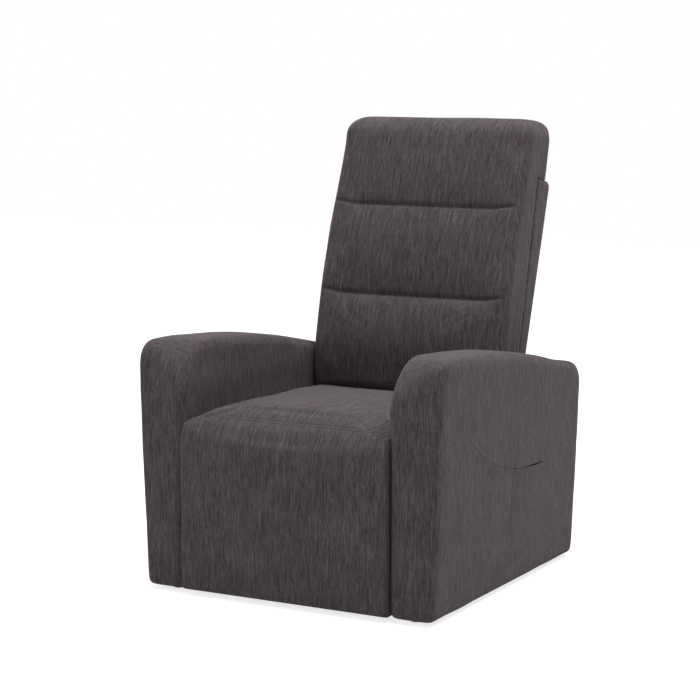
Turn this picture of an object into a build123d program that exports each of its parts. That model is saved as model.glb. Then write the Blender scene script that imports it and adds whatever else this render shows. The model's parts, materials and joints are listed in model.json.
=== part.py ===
from build123d import *
import os
from math import asin, atan2, cos, degrees, hypot, radians, sin, sqrt

# Recliner armchair, push-back type. Millimetres, +Z up, floor at Z = 0.
# X runs across the chair (sitter's left is +X), the front faces -Y.
# The origin is on the floor under the middle of the chair.

# Overall layout
front_y = -447.2            # plane of the arm fronts and the footrest front
glide_height = 8.0          # arms stand this far above the floor
fit_gap = 0.3               # soft or fixed pieces that sit beside each other
running_gap = 0.05          # radial clearance of a pin in its hole
joint_gap = 0.6             # upholstered faces that slide past each other

# Arms
arm_length = 807.0          # front to rear
arm_inner_x = 270.0         # inner face of each arm
arm_foot_width = 109.0      # width at the floor
arm_flare = 22.0            # the outer face leans out this much at full height
arm_front_height = 600.0    # height at the front, before its rounding
arm_bend_setback = 401.0    # where the top line bends down, from the front
arm_bend_height = 575.0
arm_rear_height = 489.0     # height at the rear, before its rounding
arm_front_radius = 115.0
arm_bend_radius = 2300.0
arm_rear_radius = 80.0
arm_toe_radius = 15.0
arm_edge_radius = 20.0
arm_front_wall = 36.0       # padding in front of and behind the arm frame
arm_side_wall = 34.0        # padding outside the arm frame, at the floor
arm_frame_height = 430.0
arm_panel_thickness = 18.0
arm_post_depth = 35.0
arm_skin = 4.0              # cover over the inner face of the arm frame
arm_skin_bottom = 350.0     # the inner cover ends here, above the mechanism
arm_skin_return = 58.0      # the cover turns in this far behind the frame's front

# Side pocket on the outer face of the left arm
pocket_front_setback = 143.0    # front end of the mouth, from the arm front
pocket_length = 435.0
pocket_front_height = 393.0     # measured up the outer face
pocket_mid_setback = 320.0
pocket_mid_height = 298.0
pocket_rear_height = 269.0
pocket_floor_height = 100.0
pocket_depth = 24.0
pocket_panel_thickness = 7.0
pocket_mouth = 11.0             # height of the open mouth

# Seat frame, springs and seat pad
pad_half_width = 264.5
pad_side_draw = 2.0             # sides of seat pad and footrest draw in this much
seat_rail_bottom = 298.0
seat_rail_height = 36.0
side_rail_width = 30.0
cross_rail_width = 32.0
front_rail_setback = 112.0
rear_rail_setback = 529.0
side_rail_length = 478.0
plate_thickness = 4.0           # mechanism side plates
spring_wire = 4.0
spring_count = 5
spring_pitch = 84.0
spring_wave = 44.0              # width of one zigzag
spring_bends = 11
deck_thickness = 3.0
seat_pad_rear_setback = 581.0
seat_top_front = 436.5
seat_crown = 443.0
seat_top_rear = 413.0
seat_nose_radius = 30.0         # rear top edge of the seat pad
corner_rise = 6.0               # the footrest's corner curve starts this far above the roll
pad_corner_radius = 88.0        # upper corners of seat pad and footrest, seen from the front

# Footrest
roll_radius = 55.0              # front roll, round the footrest hinge
roll_end_angle = 120.0          # the roll's upholstery runs this far round, from the front
roll_top = 435.0
roll_heel_step = 23.0           # rear of the roll's upholstery, behind the hinge
footrest_floor_gap = 11.0
footrest_thickness = 62.0
footrest_board_thickness = 14.0
footrest_board_top = 335.0
footrest_board_inset = 32.0
recess_angle = -75.0            # lower edge of the hinge recess in the pad, from straight back
seat_lip_angle = 20.0           # the seat pad's lip lies this far behind the roll's top
footrest_travel = 88.0

# Mechanism planes, measured from the middle of the chair
bracket_plane_x = 224.0         # inner face of cranks and brackets
bracket_thickness = 5.0
link_thickness = 4.0
plane_gap = 3.0                 # between links and cranks
hinge_plate_gap = 2.0           # between footrest brackets and hinge plates
lever_radius = 90.0             # footrest lever and tube crank
lever_angle = -70.0             # direction of both at rest, from straight back
link_width = 18.0
eye_radius = 10.0
pin_diameter = 8.0
hinge_pin_diameter = 10.0
hinge_eye_radius = 14.0
hinge_arm_width = 22.0
hinge_knee_setback = 98.0
hinge_knee_height = 328.0
bracket_foot_width = 22.0
bracket_foot_length = 120.0

# Cross tube that joins both sides of the mechanism
tube_setback = 300.0
tube_height = 230.0
tube_diameter = 25.0
tube_wall = 2.5
tube_bearing_width = 75.0       # part of the mechanism plate that carries the tube
bush_wall = 3.0
bush_flange = 4.0
crank_boss_radius = 22.0

# Back
back_travel = 38.0
back_lean = 14.0                # of the front face, from upright
back_origin_setback = 594.0     # front face of the back, at back_origin_height
back_origin_height = 395.0
back_pivot_depth = 28.0         # pivot behind the back's origin
back_pivot_drop = 21.0          # and below it
back_pivot_diameter = 12.0
back_sleeve_diameter = 20.0
back_lever_radius = 77.0
back_pin_eye = 13.0
back_pad_half_width = 267.0
back_pad_depth = 81.5
back_pad_bottom = 22.0
back_channel_height = 260.0     # sewn channel between the lower and middle section
back_foot_depth = 4.0           # front of the lower section's foot, behind the back's origin
channel_front = 18.0            # bottom of the channel, in front of the back's origin
lumbar_crown = 30.0
middle_crown = 20.0
back_side_draw = 3.0            # sides draw in this much at the channels
back_pad_edge = 36.0            # side rounding of the back pad
face_draw = 3.0                 # a pad's face falls this much towards its sides
face_play = 2.0                 # and its plan passes the crown by this much
strap_thickness = 2.0
strap_height = 50.0
strap_heights = (105.0, 190.0, 300.0, 385.0)
stile_width = 20.0
stile_depth = 28.0
stile_bottom = 36.0
stile_rise = 25.0               # stiles end this far above the headrest hinge
back_rail_height = 30.0
shell_half_width = 266.0
shell_bottom = -8.0
shell_rise = 78.0               # shell ends this far above the headrest hinge
shell_depth_bottom = 122.0
shell_depth_top = 164.0
shell_wall = 8.0
shell_corner_radius = 14.0
shell_edge_radius = 12.0

# Headrest
head_axis_height = 520.0        # along the back, from its origin
head_axis_depth = 62.0          # behind the front face
head_roll_radius = 60.0
head_crease_angle = 36.0        # the crease lies this far below the hinge
head_heel_angle = 75.0
head_socket_angle = 85.0        # a point of the back pad's socket lies this far below the hinge
head_travel = 35.0
head_half_width = 266.0
head_rise = 209.0               # headrest top, above its hinge
head_depth = 132.0
head_neck_depth = 77.0          # depth of the part in front of the shell
head_crown = 7.0
head_pad_edge = 46.0            # side rounding of the headrest
head_corner_radius = 58.0
head_front_radius = 44.0        # top edges of the headrest, seen from the side
head_rear_radius = 26.0
head_board_thickness = 12.0
head_board_front = 40.0
head_board_lift = 15.0          # board's lower edge, above the hinge
head_board_height = 145.0
head_board_half_width = 215.0
head_hinge_x = 148.0
head_eye_radius = 12.0
head_leaf_length = 90.0
head_leaf_width = 15.0

# Base rails, rear panel, glides and bolts
base_rail_width = 30.0
base_rail_bottom = 22.0
front_base_rail_height = 58.0
front_base_rail_setback = 115.0
rear_base_rail_height = 200.0
rear_panel_inset = 11.0         # rear panel lies this far inside the arms' rear ends
rear_panel_thickness = 28.0
rear_panel_bottom = 14.0
rear_panel_top = 362.0
rear_panel_crown = 6.0
glide_diameter = 30.0
bolt_diameter = 8.0
bolt_head_diameter = 14.0
bolt_head_height = 5.0
bolt_length = 20.0
bolt_knee_step = 40.0           # first bolt, behind the hinge plate's knee
bolt_tube_lead = 60.0           # second bolt, in front of the cross tube
bolt_tube_trail = 90.0          # third bolt, behind the cross tube

# Places worked out from the sizes above
arm_rear_y = front_y + arm_length
panel_outer_x = arm_inner_x + arm_panel_thickness
frame_front_y = front_y + arm_front_wall
frame_rear_y = arm_rear_y - arm_front_wall
skin_outer_x = arm_inner_x + arm_skin
skin_return_y = frame_front_y + arm_skin_return
arm_foot_x = arm_inner_x + arm_foot_width
frame_outer_x = arm_foot_x - arm_side_wall
plate_inner_x = arm_inner_x - plate_thickness
side_rail_inner_x = plate_inner_x - side_rail_width
seat_rail_top = seat_rail_bottom + seat_rail_height
rail_middle = seat_rail_bottom + seat_rail_height / 2
front_rail_y = front_y + front_rail_setback
rear_rail_y = front_y + rear_rail_setback
deck_bottom = seat_rail_top + spring_wire + 2 * fit_gap
seat_pad_bottom = deck_bottom + deck_thickness + fit_gap
hinge_y = front_y + roll_radius
hinge_z = roll_top - roll_radius
footrest_back_y = front_y + footrest_thickness
tube_y = front_y + tube_setback
back_y = front_y + back_origin_setback
pivot_y = back_y + back_pivot_depth
pivot_z = back_origin_height - back_pivot_drop
bracket_outer_x = bracket_plane_x + bracket_thickness
link_outer_x = bracket_plane_x - plane_gap
link_inner_x = link_outer_x - link_thickness
hinge_plate_x = bracket_outer_x + hinge_plate_gap
hinge_plate_thickness = side_rail_inner_x - hinge_plate_x
pin_end_x = link_inner_x - hinge_plate_gap
rear_panel_y = arm_rear_y - rear_panel_inset - rear_panel_thickness
rear_base_rail_y = rear_panel_y - base_rail_width

stile_top = head_axis_height + stile_rise
shell_top = head_axis_height + shell_rise
head_top = head_axis_height + head_rise
head_board_bottom = head_axis_height + head_board_lift
head_board_top = head_board_bottom + head_board_height

# Back geometry: heights run up the leaning face, depths run behind it
lean = radians(back_lean)
back_front = Plane(
    origin=(0, back_y, back_origin_height), x_dir=(1, 0, 0), z_dir=(0, -cos(lean), sin(lean))
)
back_side = Plane(
    origin=(0, back_y, back_origin_height), x_dir=(0, -cos(lean), sin(lean)), z_dir=(-1, 0, 0)
)


def back_point(height, depth):
    """Place in the chair's Y-Z plane of a point on the back, by height up it and depth behind it."""
    y = back_y + height * sin(lean) + depth * cos(lean)
    z = back_origin_height + height * cos(lean) - depth * sin(lean)
    return (y, z)


def turned(radius, angle):
    """Point at a radius, at an angle in degrees from +Y towards +Z."""
    return (radius * cos(radians(angle)), radius * sin(radians(angle)))


def shifted(point, step):
    """A point moved by a step."""
    return (point[0] + step[0], point[1] + step[1])


# Linkage: the tube crank is parallel to the footrest lever, so the links stay parallel too.
# The rods leave crank and back lever square at half travel.
hinge_axis = (hinge_y, hinge_z)
tube_axis = (tube_y, tube_height)
back_axis = (pivot_y, pivot_z)
lever_step = turned(lever_radius, lever_angle)
lever_pin = shifted(hinge_axis, lever_step)
crank_pin = shifted(tube_axis, lever_step)
rod_crank_radius = back_lever_radius * sin(radians(back_travel / 2)) / sin(radians(footrest_travel / 2))
axis_span = hypot(pivot_y - tube_y, pivot_z - tube_height)
axis_slope = degrees(atan2(pivot_z - tube_height, pivot_y - tube_y))
rod_slope = axis_slope - degrees(asin((back_lever_radius - rod_crank_radius) / axis_span))
rod_length = axis_span * cos(radians(axis_slope - rod_slope))
arms_square = rod_slope - 90
back_pin = shifted(back_axis, turned(back_lever_radius, arms_square + back_travel / 2))
rod_pin = shifted(tube_axis, turned(rod_crank_radius, arms_square + footrest_travel / 2))
rod_lift = back_lever_radius * (1 - cos(radians(back_travel / 2)))
rod_drop = rod_crank_radius * (1 - cos(radians(footrest_travel / 2)))
rod_play = rod_drop - rod_lift
eye_centre = shifted(shifted(rod_pin, turned(rod_length, rod_slope)), turned(rod_play / 2, arms_square))
rod_slot_room = 1.6

os.makedirs("parts", exist_ok=True)


def save(part, name):
    """Label a finished piece and write it out."""
    part.label = name
    export_step(part, f"parts/{name}.step")


def strip(start, end, width):
    """Bar with round ends between two points, in the current sketch."""
    middle = ((start[0] + end[0]) / 2, (start[1] + end[1]) / 2)
    length = hypot(end[0] - start[0], end[1] - start[1])
    slope = degrees(atan2(end[1] - start[1], end[0] - start[0]))
    with Locations(middle):
        SlotCenterToCenter(length, width, rotation=slope)


def dot(centre, radius, mode=Mode.ADD):
    """Round disc or hole in the current sketch."""
    with Locations(centre):
        Circle(radius, mode=mode)


def arc_bend(radius):
    """Distance from each leg of a square corner to the middle of its rounding."""
    return radius * (1 - cos(radians(45)))


def side_plane(side, x):
    """Plane square to X at a distance from the middle, on one side of the chair."""
    return Plane.YZ.offset(side * x)


def block(x_range, y_range, z_range, mode=Mode.ADD):
    """Plain block between limits, in the current part."""
    size = [high - low for low, high in (x_range, y_range, z_range)]
    middle = tuple((high + low) / 2 for low, high in (x_range, y_range, z_range))
    with Locations(middle):
        Box(*size, mode=mode)


def span(side, low, high):
    """Range of X on one side of the chair."""
    return tuple(sorted((side * low, side * high)))


SIDES = {"left": 1, "right": -1}

# Outer face of an arm: it leans out, and heights on it run up the slope
flare_angle = atan2(arm_flare, arm_front_height - glide_height)


def arm_face(side):
    """Plane on the outer face of one arm, with Y across and the slope upwards."""
    outward = (side * cos(flare_angle), 0, -sin(flare_angle))
    return Plane(origin=(side * arm_foot_x, 0, glide_height), x_dir=(0, side, 0), z_dir=outward)


def pocket_outline(side, shift):
    """Region below the pocket's mouth line, with the line moved up by shift."""
    front = front_y + pocket_front_setback
    rear = front + pocket_length
    front_top = (side * front, pocket_front_height + shift)
    middle_top = (side * (front_y + pocket_mid_setback), pocket_mid_height + shift)
    rear_top = (side * rear, pocket_rear_height + shift)
    with BuildLine() as outline:
        ThreePointArc(front_top, middle_top, rear_top)
        Polyline(
            rear_top,
            (side * rear, pocket_floor_height),
            (side * front, pocket_floor_height),
            front_top,
        )
    make_face(outline.edges())


# Bolts that hold the mechanism plates to the arm frames
bolt_places = [
    (front_y + hinge_knee_setback + bolt_knee_step, rail_middle),
    (tube_y - bolt_tube_lead, rail_middle),
    (tube_y + bolt_tube_trail, rail_middle),
    (rear_rail_y + cross_rail_width / 2, rail_middle),
]
bolt_head_x = side_rail_inner_x
post_ranges = {
    "front": (frame_front_y, frame_front_y + arm_post_depth),
    "rear": (frame_rear_y - arm_post_depth, frame_rear_y),
}

for name, side in SIDES.items():
    # Arm cover: padded sleeve over the arm frame, open below and towards the seat frame
    with BuildPart() as arm_cover:
        with BuildSketch(side_plane(side, arm_inner_x)) as arm_profile:
            with BuildLine():
                Polyline(
                    (front_y, glide_height),
                    (front_y, arm_front_height),
                    (front_y + arm_bend_setback, arm_bend_height),
                    (arm_rear_y, arm_rear_height),
                    (arm_rear_y, glide_height),
                    close=True,
                )
            make_face()
            for corner, radius in (
                ((front_y, arm_front_height), arm_front_radius),
                ((arm_rear_y, arm_rear_height), arm_rear_radius),
                ((front_y + arm_bend_setback, arm_bend_height), arm_bend_radius),
            ):
                fillet(arm_profile.vertices().sort_by_distance(corner)[0], radius)
        extrude(amount=side * (arm_foot_width + arm_flare))
        with BuildSketch(Plane.XZ) as arm_width:
            with BuildLine():
                Polyline(
                    (side * arm_inner_x, glide_height),
                    (side * arm_foot_x, glide_height),
                    (side * (arm_foot_x + arm_flare), arm_front_height),
                    (side * arm_inner_x, arm_front_height),
                    close=True,
                )
            make_face()
        extrude(amount=2 * arm_length, both=True, mode=Mode.INTERSECT)
        side_faces = arm_cover.faces().sort_by(Axis.X)
        rims = side_faces[0].edges() + side_faces[-1].edges()
        fillet([edge for edge in rims if edge.center().Z > 2 * glide_height], arm_edge_radius)
        with BuildSketch(side_plane(side, 0)) as arm_toes:
            with Locations((front_y + arm_length / 2, glide_height + arm_front_height / 2)):
                Rectangle(arm_length, arm_front_height)
            fillet(arm_toes.vertices().group_by(Axis.Y)[0], arm_toe_radius)
        extrude(amount=side * 2 * arm_foot_x, mode=Mode.INTERSECT)
        block(
            span(side, skin_outer_x, frame_outer_x),
            (frame_front_y - fit_gap, frame_rear_y + fit_gap),
            (0, arm_frame_height + fit_gap),
            mode=Mode.SUBTRACT,
        )
        block(
            span(side, arm_inner_x - fit_gap, frame_outer_x),
            (skin_return_y, frame_rear_y + fit_gap),
            (0, arm_skin_bottom),
            mode=Mode.SUBTRACT,
        )
        if name == "left":
            with BuildSketch(arm_face(side)):
                pocket_outline(side, pocket_mouth / 2)
            extrude(amount=-pocket_depth, mode=Mode.SUBTRACT)
    save(arm_cover.part, f"arm_cover_{name}")

    # Plywood side panel that carries the mechanism plate
    with BuildPart() as arm_panel:
        block(
            span(side, skin_outer_x + fit_gap, panel_outer_x),
            (frame_front_y, frame_rear_y),
            (glide_height, arm_frame_height),
        )
        block(
            span(side, arm_inner_x, panel_outer_x),
            (skin_return_y + fit_gap, frame_rear_y),
            (glide_height, arm_skin_bottom - fit_gap),
        )
        with BuildSketch(side_plane(side, arm_inner_x)):
            for place in bolt_places:
                dot(place, bolt_diameter / 2 + running_gap)
        extrude(amount=side * arm_panel_thickness, mode=Mode.SUBTRACT)
    save(arm_panel.part, f"arm_panel_{name}")

    # Posts and top rail that stiffen the panel inside the arm
    with BuildPart() as arm_posts:
        for y_range in post_ranges.values():
            block(
                span(side, panel_outer_x, frame_outer_x - fit_gap),
                y_range,
                (glide_height, arm_frame_height),
            )
        block(
            span(side, panel_outer_x, frame_outer_x - fit_gap),
            (frame_front_y + arm_post_depth + fit_gap, frame_rear_y - arm_post_depth - fit_gap),
            (arm_frame_height - arm_post_depth, arm_frame_height),
        )
    save(arm_posts.part, f"arm_posts_{name}")

    # Steel side plate: carries the tube bearing and the back pivot
    with BuildPart() as mechanism_plate:
        with BuildSketch(side_plane(side, plate_inner_x)):
            plate_front = (front_rail_y + cross_rail_width / 2, rail_middle)
            plate_rear = (rear_rail_y + cross_rail_width / 2, rail_middle)
            strip(plate_front, plate_rear, seat_rail_height)
            strip((tube_y, rail_middle), tube_axis, tube_bearing_width)
            strip(plate_rear, back_axis, seat_rail_height)
            for place in bolt_places:
                dot(place, bolt_diameter / 2 + running_gap, mode=Mode.SUBTRACT)
            dot(tube_axis, tube_diameter / 2 + bush_wall + running_gap, mode=Mode.SUBTRACT)
            dot(back_axis, back_pivot_diameter / 2 + running_gap, mode=Mode.SUBTRACT)
        extrude(amount=side * plate_thickness)
    save(mechanism_plate.part, f"mechanism_plate_{name}")

    # Wooden side rail of the seat, against the mechanism plate
    with BuildPart() as seat_side_rail:
        block(
            span(side, side_rail_inner_x, plate_inner_x),
            (front_rail_y, front_rail_y + side_rail_length),
            (seat_rail_bottom, seat_rail_top),
        )
        with BuildSketch(side_plane(side, side_rail_inner_x)):
            for place in bolt_places:
                dot(place, bolt_diameter / 2 + running_gap)
        extrude(amount=side * side_rail_width, mode=Mode.SUBTRACT)
    save(seat_side_rail.part, f"seat_side_rail_{name}")

    # Hinge plate that reaches forward from the side rail to the footrest hinge
    with BuildPart() as hinge_plate:
        with BuildSketch(side_plane(side, hinge_plate_x)):
            knee = (front_y + hinge_knee_setback, hinge_knee_height)
            plate_end = (front_rail_y + 3 * hinge_arm_width, rail_middle)
            strip(hinge_axis, knee, hinge_arm_width)
            strip(knee, (front_rail_y + hinge_arm_width, rail_middle), hinge_arm_width)
            strip((front_rail_y + hinge_arm_width, rail_middle), plate_end, hinge_arm_width)
            dot(hinge_axis, hinge_eye_radius)
            dot(hinge_axis, hinge_pin_diameter / 2 + running_gap, mode=Mode.SUBTRACT)
            dot(bolt_places[0], bolt_head_diameter / 2 + fit_gap, mode=Mode.SUBTRACT)
        extrude(amount=side * hinge_plate_thickness)
    save(hinge_plate.part, f"footrest_hinge_plate_{name}")

    # Footrest bracket: hinge eye, foot on the board and lever with its stud
    with BuildPart() as footrest_bracket:
        with BuildSketch(side_plane(side, bracket_plane_x)):
            foot_y = footrest_back_y + bracket_foot_width / 2
            foot_top = (foot_y, footrest_board_top + eye_radius)
            strip(hinge_axis, foot_top, bracket_foot_width)
            strip(foot_top, (foot_y, footrest_board_top - bracket_foot_length), bracket_foot_width)
            strip(foot_top, lever_pin, bracket_foot_width)
            dot(hinge_axis, hinge_eye_radius)
            dot(hinge_axis, hinge_pin_diameter / 2 + running_gap, mode=Mode.SUBTRACT)
        extrude(amount=side * bracket_thickness)
        with BuildSketch(side_plane(side, pin_end_x)):
            dot(lever_pin, pin_diameter / 2)
        extrude(amount=side * (bracket_plane_x - pin_end_x))
    save(footrest_bracket.part, f"footrest_bracket_{name}")

    # Crank on the cross tube, with studs for the footrest link and the recline rod
    with BuildPart() as tube_crank:
        with BuildSketch(side_plane(side, bracket_plane_x)):
            dot(tube_axis, crank_boss_radius)
            strip(tube_axis, crank_pin, bracket_foot_width)
            strip(tube_axis, rod_pin, bracket_foot_width)
            dot(tube_axis, tube_diameter / 2 + running_gap, mode=Mode.SUBTRACT)
        extrude(amount=side * bracket_thickness)
        with BuildSketch(side_plane(side, pin_end_x)):
            dot(crank_pin, pin_diameter / 2)
            dot(rod_pin, pin_diameter / 2)
        extrude(amount=side * (bracket_plane_x - pin_end_x))
    save(tube_crank.part, f"tube_crank_{name}")

    # Footrest link, from the tube crank to the footrest lever
    with BuildPart() as footrest_link:
        with BuildSketch(side_plane(side, link_inner_x)):
            strip(crank_pin, lever_pin, link_width)
            for pin in (crank_pin, lever_pin):
                dot(pin, eye_radius)
            for pin in (crank_pin, lever_pin):
                dot(pin, pin_diameter / 2 + running_gap, mode=Mode.SUBTRACT)
        extrude(amount=side * link_thickness)
    save(footrest_link.part, f"footrest_link_{name}")

    # Recline rod, from the tube crank to the back lever; its rear eye is a slot
    with BuildPart() as recline_rod:
        with BuildSketch(side_plane(side, link_inner_x)):
            slot_width = pin_diameter + 2 * rod_slot_room
            strip(rod_pin, eye_centre, link_width)
            dot(rod_pin, eye_radius)
            with Locations(eye_centre):
                SlotCenterToCenter(
                    rod_play + rod_slot_room, slot_width + link_width, rotation=arms_square
                )
            dot(rod_pin, pin_diameter / 2 + running_gap, mode=Mode.SUBTRACT)
            with Locations(eye_centre):
                SlotCenterToCenter(
                    rod_play + rod_slot_room, slot_width, rotation=arms_square, mode=Mode.SUBTRACT
                )
        extrude(amount=side * link_thickness)
    save(recline_rod.part, f"recline_rod_{name}")

    # Back bracket: pivot sleeve, lever with stud and a tall leg on the back stile
    with BuildPart() as back_bracket:
        with BuildSketch(side_plane(side, bracket_plane_x)):
            leg_depth = back_pad_depth + strap_thickness + stile_depth / 2
            leg_foot = back_point(stile_bottom - strap_height / 2, leg_depth)
            strip(back_axis, leg_foot, bracket_foot_width)
            strip(leg_foot, back_point(3 * strap_height, leg_depth), bracket_foot_width)
            strip(back_axis, back_pin, 2 * back_pin_eye)
            dot(back_axis, back_pivot_diameter / 2 + running_gap, mode=Mode.SUBTRACT)
        extrude(amount=side * bracket_thickness)
        with BuildSketch(side_plane(side, bracket_outer_x)):
            dot(back_axis, back_sleeve_diameter / 2)
            dot(back_axis, back_pivot_diameter / 2 + running_gap, mode=Mode.SUBTRACT)
        extrude(amount=side * (plate_inner_x - hinge_plate_gap - bracket_outer_x))
        with BuildSketch(side_plane(side, pin_end_x)):
            dot(back_pin, pin_diameter / 2)
        extrude(amount=side * (bracket_plane_x - pin_end_x))
    save(back_bracket.part, f"back_bracket_{name}")

    # Wooden stile of the back frame
    with BuildPart() as back_stile:
        with BuildSketch(back_front.offset(-back_pad_depth - strap_thickness)):
            with Locations((side * (bracket_outer_x + stile_width / 2), (stile_bottom + stile_top) / 2)):
                Rectangle(stile_width, stile_top - stile_bottom)
        extrude(amount=-stile_depth)
    save(back_stile.part, f"back_stile_{name}")

# Cloth panel over the pocket; its upper edge is the lower lip of the mouth
with BuildPart() as pocket_panel:
    with BuildSketch(arm_face(1)):
        pocket_outline(1, -pocket_mouth / 2)
        offset(amount=-fit_gap, mode=Mode.REPLACE)
    extrude(amount=-pocket_panel_thickness)
save(pocket_panel.part, "pocket_panel")

# Bolts through side rail, mechanism plate and arm panel
with BuildPart() as plate_bolts:
    for side in SIDES.values():
        with BuildSketch(side_plane(side, bolt_head_x)):
            for place in bolt_places:
                dot(place, bolt_diameter / 2)
        extrude(amount=side * (side_rail_width + plate_thickness + bolt_length - bolt_head_height))
        with BuildSketch(side_plane(side, bolt_head_x)):
            for place in bolt_places:
                dot(place, bolt_head_diameter / 2)
        extrude(amount=-side * bolt_head_height)
save(plate_bolts.part, "plate_bolts")

# Pivot pins of the footrest hinge and of the back
with BuildPart() as footrest_hinge_pins:
    for side in SIDES.values():
        with BuildSketch(side_plane(side, bracket_plane_x - hinge_plate_gap)):
            dot(hinge_axis, hinge_pin_diameter / 2)
        extrude(amount=side * (side_rail_inner_x + hinge_plate_gap - bracket_plane_x + hinge_plate_gap))
save(footrest_hinge_pins.part, "footrest_hinge_pins")

with BuildPart() as back_pivot_pins:
    for side in SIDES.values():
        with BuildSketch(side_plane(side, bracket_plane_x - hinge_plate_gap)):
            dot(back_axis, back_pivot_diameter / 2)
        extrude(amount=side * (arm_inner_x - bracket_plane_x + hinge_plate_gap))
save(back_pivot_pins.part, "back_pivot_pins")

# Flanged bushes in the mechanism plates and the cross tube that turns in them
with BuildPart() as tube_bushes:
    for side in SIDES.values():
        with BuildSketch(side_plane(side, plate_inner_x)):
            dot(tube_axis, tube_diameter / 2 + bush_wall)
            dot(tube_axis, tube_diameter / 2 + running_gap, mode=Mode.SUBTRACT)
        extrude(amount=side * plate_thickness)
        with BuildSketch(side_plane(side, plate_inner_x)):
            dot(tube_axis, tube_diameter / 2 + bush_wall + bush_flange)
            dot(tube_axis, tube_diameter / 2 + running_gap, mode=Mode.SUBTRACT)
        extrude(amount=-side * bush_wall)
save(tube_bushes.part, "tube_bushes")

with BuildPart() as cross_tube:
    with BuildSketch(Plane.YZ):
        dot(tube_axis, tube_diameter / 2)
        dot(tube_axis, tube_diameter / 2 - tube_wall, mode=Mode.SUBTRACT)
    extrude(amount=arm_inner_x - fit_gap, both=True)
save(cross_tube.part, "cross_tube")

# Cross rails of the seat, between the side rails
for rail_name, rail_start, rail_half in (
    ("seat_front_rail", front_rail_y, hinge_plate_x),
    ("seat_rear_rail", rear_rail_y, side_rail_inner_x),
):
    with BuildPart() as seat_rail:
        block(
            (-rail_half, rail_half),
            (rail_start, rail_start + cross_rail_width),
            (seat_rail_bottom, seat_rail_top),
        )
        if rail_name == "seat_rear_rail":
            with BuildSketch(Plane.YZ):
                dot(bolt_places[-1], bolt_head_diameter / 2 + fit_gap)
            extrude(amount=2 * rail_half, both=True, mode=Mode.SUBTRACT)
    save(seat_rail.part, rail_name)

# Zigzag springs across the seat, resting on both cross rails
spring_start = front_rail_y + cross_rail_width / 4
spring_end = rear_rail_y + 3 * cross_rail_width / 4
spring_z = seat_rail_top + fit_gap + spring_wire / 2
bend_step = (spring_end - spring_start) / (spring_bends + 1)
with BuildPart() as seat_springs:
    for index in range(spring_count):
        centre_x = (index - (spring_count - 1) / 2) * spring_pitch
        turns = [(centre_x, spring_start, spring_z)]
        for bend in range(spring_bends):
            swing = spring_wave / 2 * (-1) ** bend
            turns.append((centre_x + swing, spring_start + (bend + 1) * bend_step, spring_z))
        turns.append((centre_x, spring_end, spring_z))
        with BuildLine() as spring_path:
            FilletPolyline(*turns, radius=bend_step / 3)
        start_plane = Plane(origin=spring_path.line @ 0, z_dir=spring_path.line % 0)
        with BuildSketch(start_plane):
            Circle(spring_wire / 2)
        sweep(path=spring_path.line)
save(seat_springs.part, "seat_springs")

# Felt deck over the springs
with BuildPart() as seat_deck:
    block(
        (-plate_inner_x + side_rail_width / 2, plate_inner_x - side_rail_width / 2),
        (front_rail_y + fit_gap, front_rail_y + side_rail_length),
        (deck_bottom, deck_bottom + deck_thickness),
    )
save(seat_deck.part, "seat_deck")


def pad_front_outline(bottom, top, crown, corner):
    """Front view of a pad: crowned top, large upper corners and slightly drawn-in sides."""
    shoulder = pad_half_width - corner
    middle = (bottom + top - corner) / 2
    with BuildLine() as outline:
        left_side = (-pad_half_width, top - corner)
        right_side = (pad_half_width, top - corner)
        bend = arc_bend(corner)
        ThreePointArc((-shoulder, top), (0, top + crown), (shoulder, top))
        ThreePointArc((shoulder, top), (pad_half_width - bend, top - bend), right_side)
        ThreePointArc(right_side, (pad_half_width - pad_side_draw, middle), (pad_half_width, bottom))
        Line((pad_half_width, bottom), (-pad_half_width, bottom))
        ThreePointArc((-pad_half_width, bottom), (-pad_half_width + pad_side_draw, middle), left_side)
        ThreePointArc(left_side, (-pad_half_width + bend, top - bend), (-shoulder, top))
    make_face(outline.edges())


# Seat pad: crowned, with a hollow front end that takes the front roll
socket_radius = roll_radius + joint_gap
lip = shifted(hinge_axis, turned(socket_radius, 90 - seat_lip_angle))
socket_middle = shifted(hinge_axis, turned(socket_radius, (90 - seat_lip_angle) / 2))
socket_end = shifted(hinge_axis, turned(socket_radius, 0))
seat_rear_y = front_y + seat_pad_rear_setback
with BuildPart() as seat_pad:
    with BuildSketch(Plane.YZ) as seat_profile:
        with BuildLine():
            top_front = (lip[0], seat_top_front + seat_crown - roll_top)
            top_rear = (seat_rear_y, seat_top_rear)
            top_middle = ((top_front[0] + top_rear[0]) / 2 - seat_nose_radius, seat_crown)
            ThreePointArc(top_front, top_middle, top_rear)
            Polyline(top_rear, (seat_rear_y, seat_pad_bottom), (socket_end[0], seat_pad_bottom), socket_end)
            ThreePointArc(socket_end, socket_middle, lip)
            Line(lip, top_front)
        make_face()
        fillet(seat_profile.vertices().sort_by_distance((seat_rear_y, seat_top_rear))[0], seat_nose_radius)
    extrude(amount=pad_half_width + fit_gap, both=True)
    with BuildSketch(Plane.XZ):
        pad_front_outline(
            seat_pad_bottom - corner_rise,
            seat_top_front,
            seat_crown - seat_top_front,
            pad_corner_radius,
        )
    extrude(amount=arm_length, both=True, mode=Mode.INTERSECT)
save(seat_pad.part, "seat_pad")

# Footrest board
with BuildPart() as footrest_board:
    block(
        (-pad_half_width + footrest_board_inset, pad_half_width - footrest_board_inset),
        (footrest_back_y - footrest_board_thickness, footrest_back_y),
        (footrest_floor_gap + footrest_board_inset, footrest_board_top),
    )
save(footrest_board.part, "footrest_board")

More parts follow.
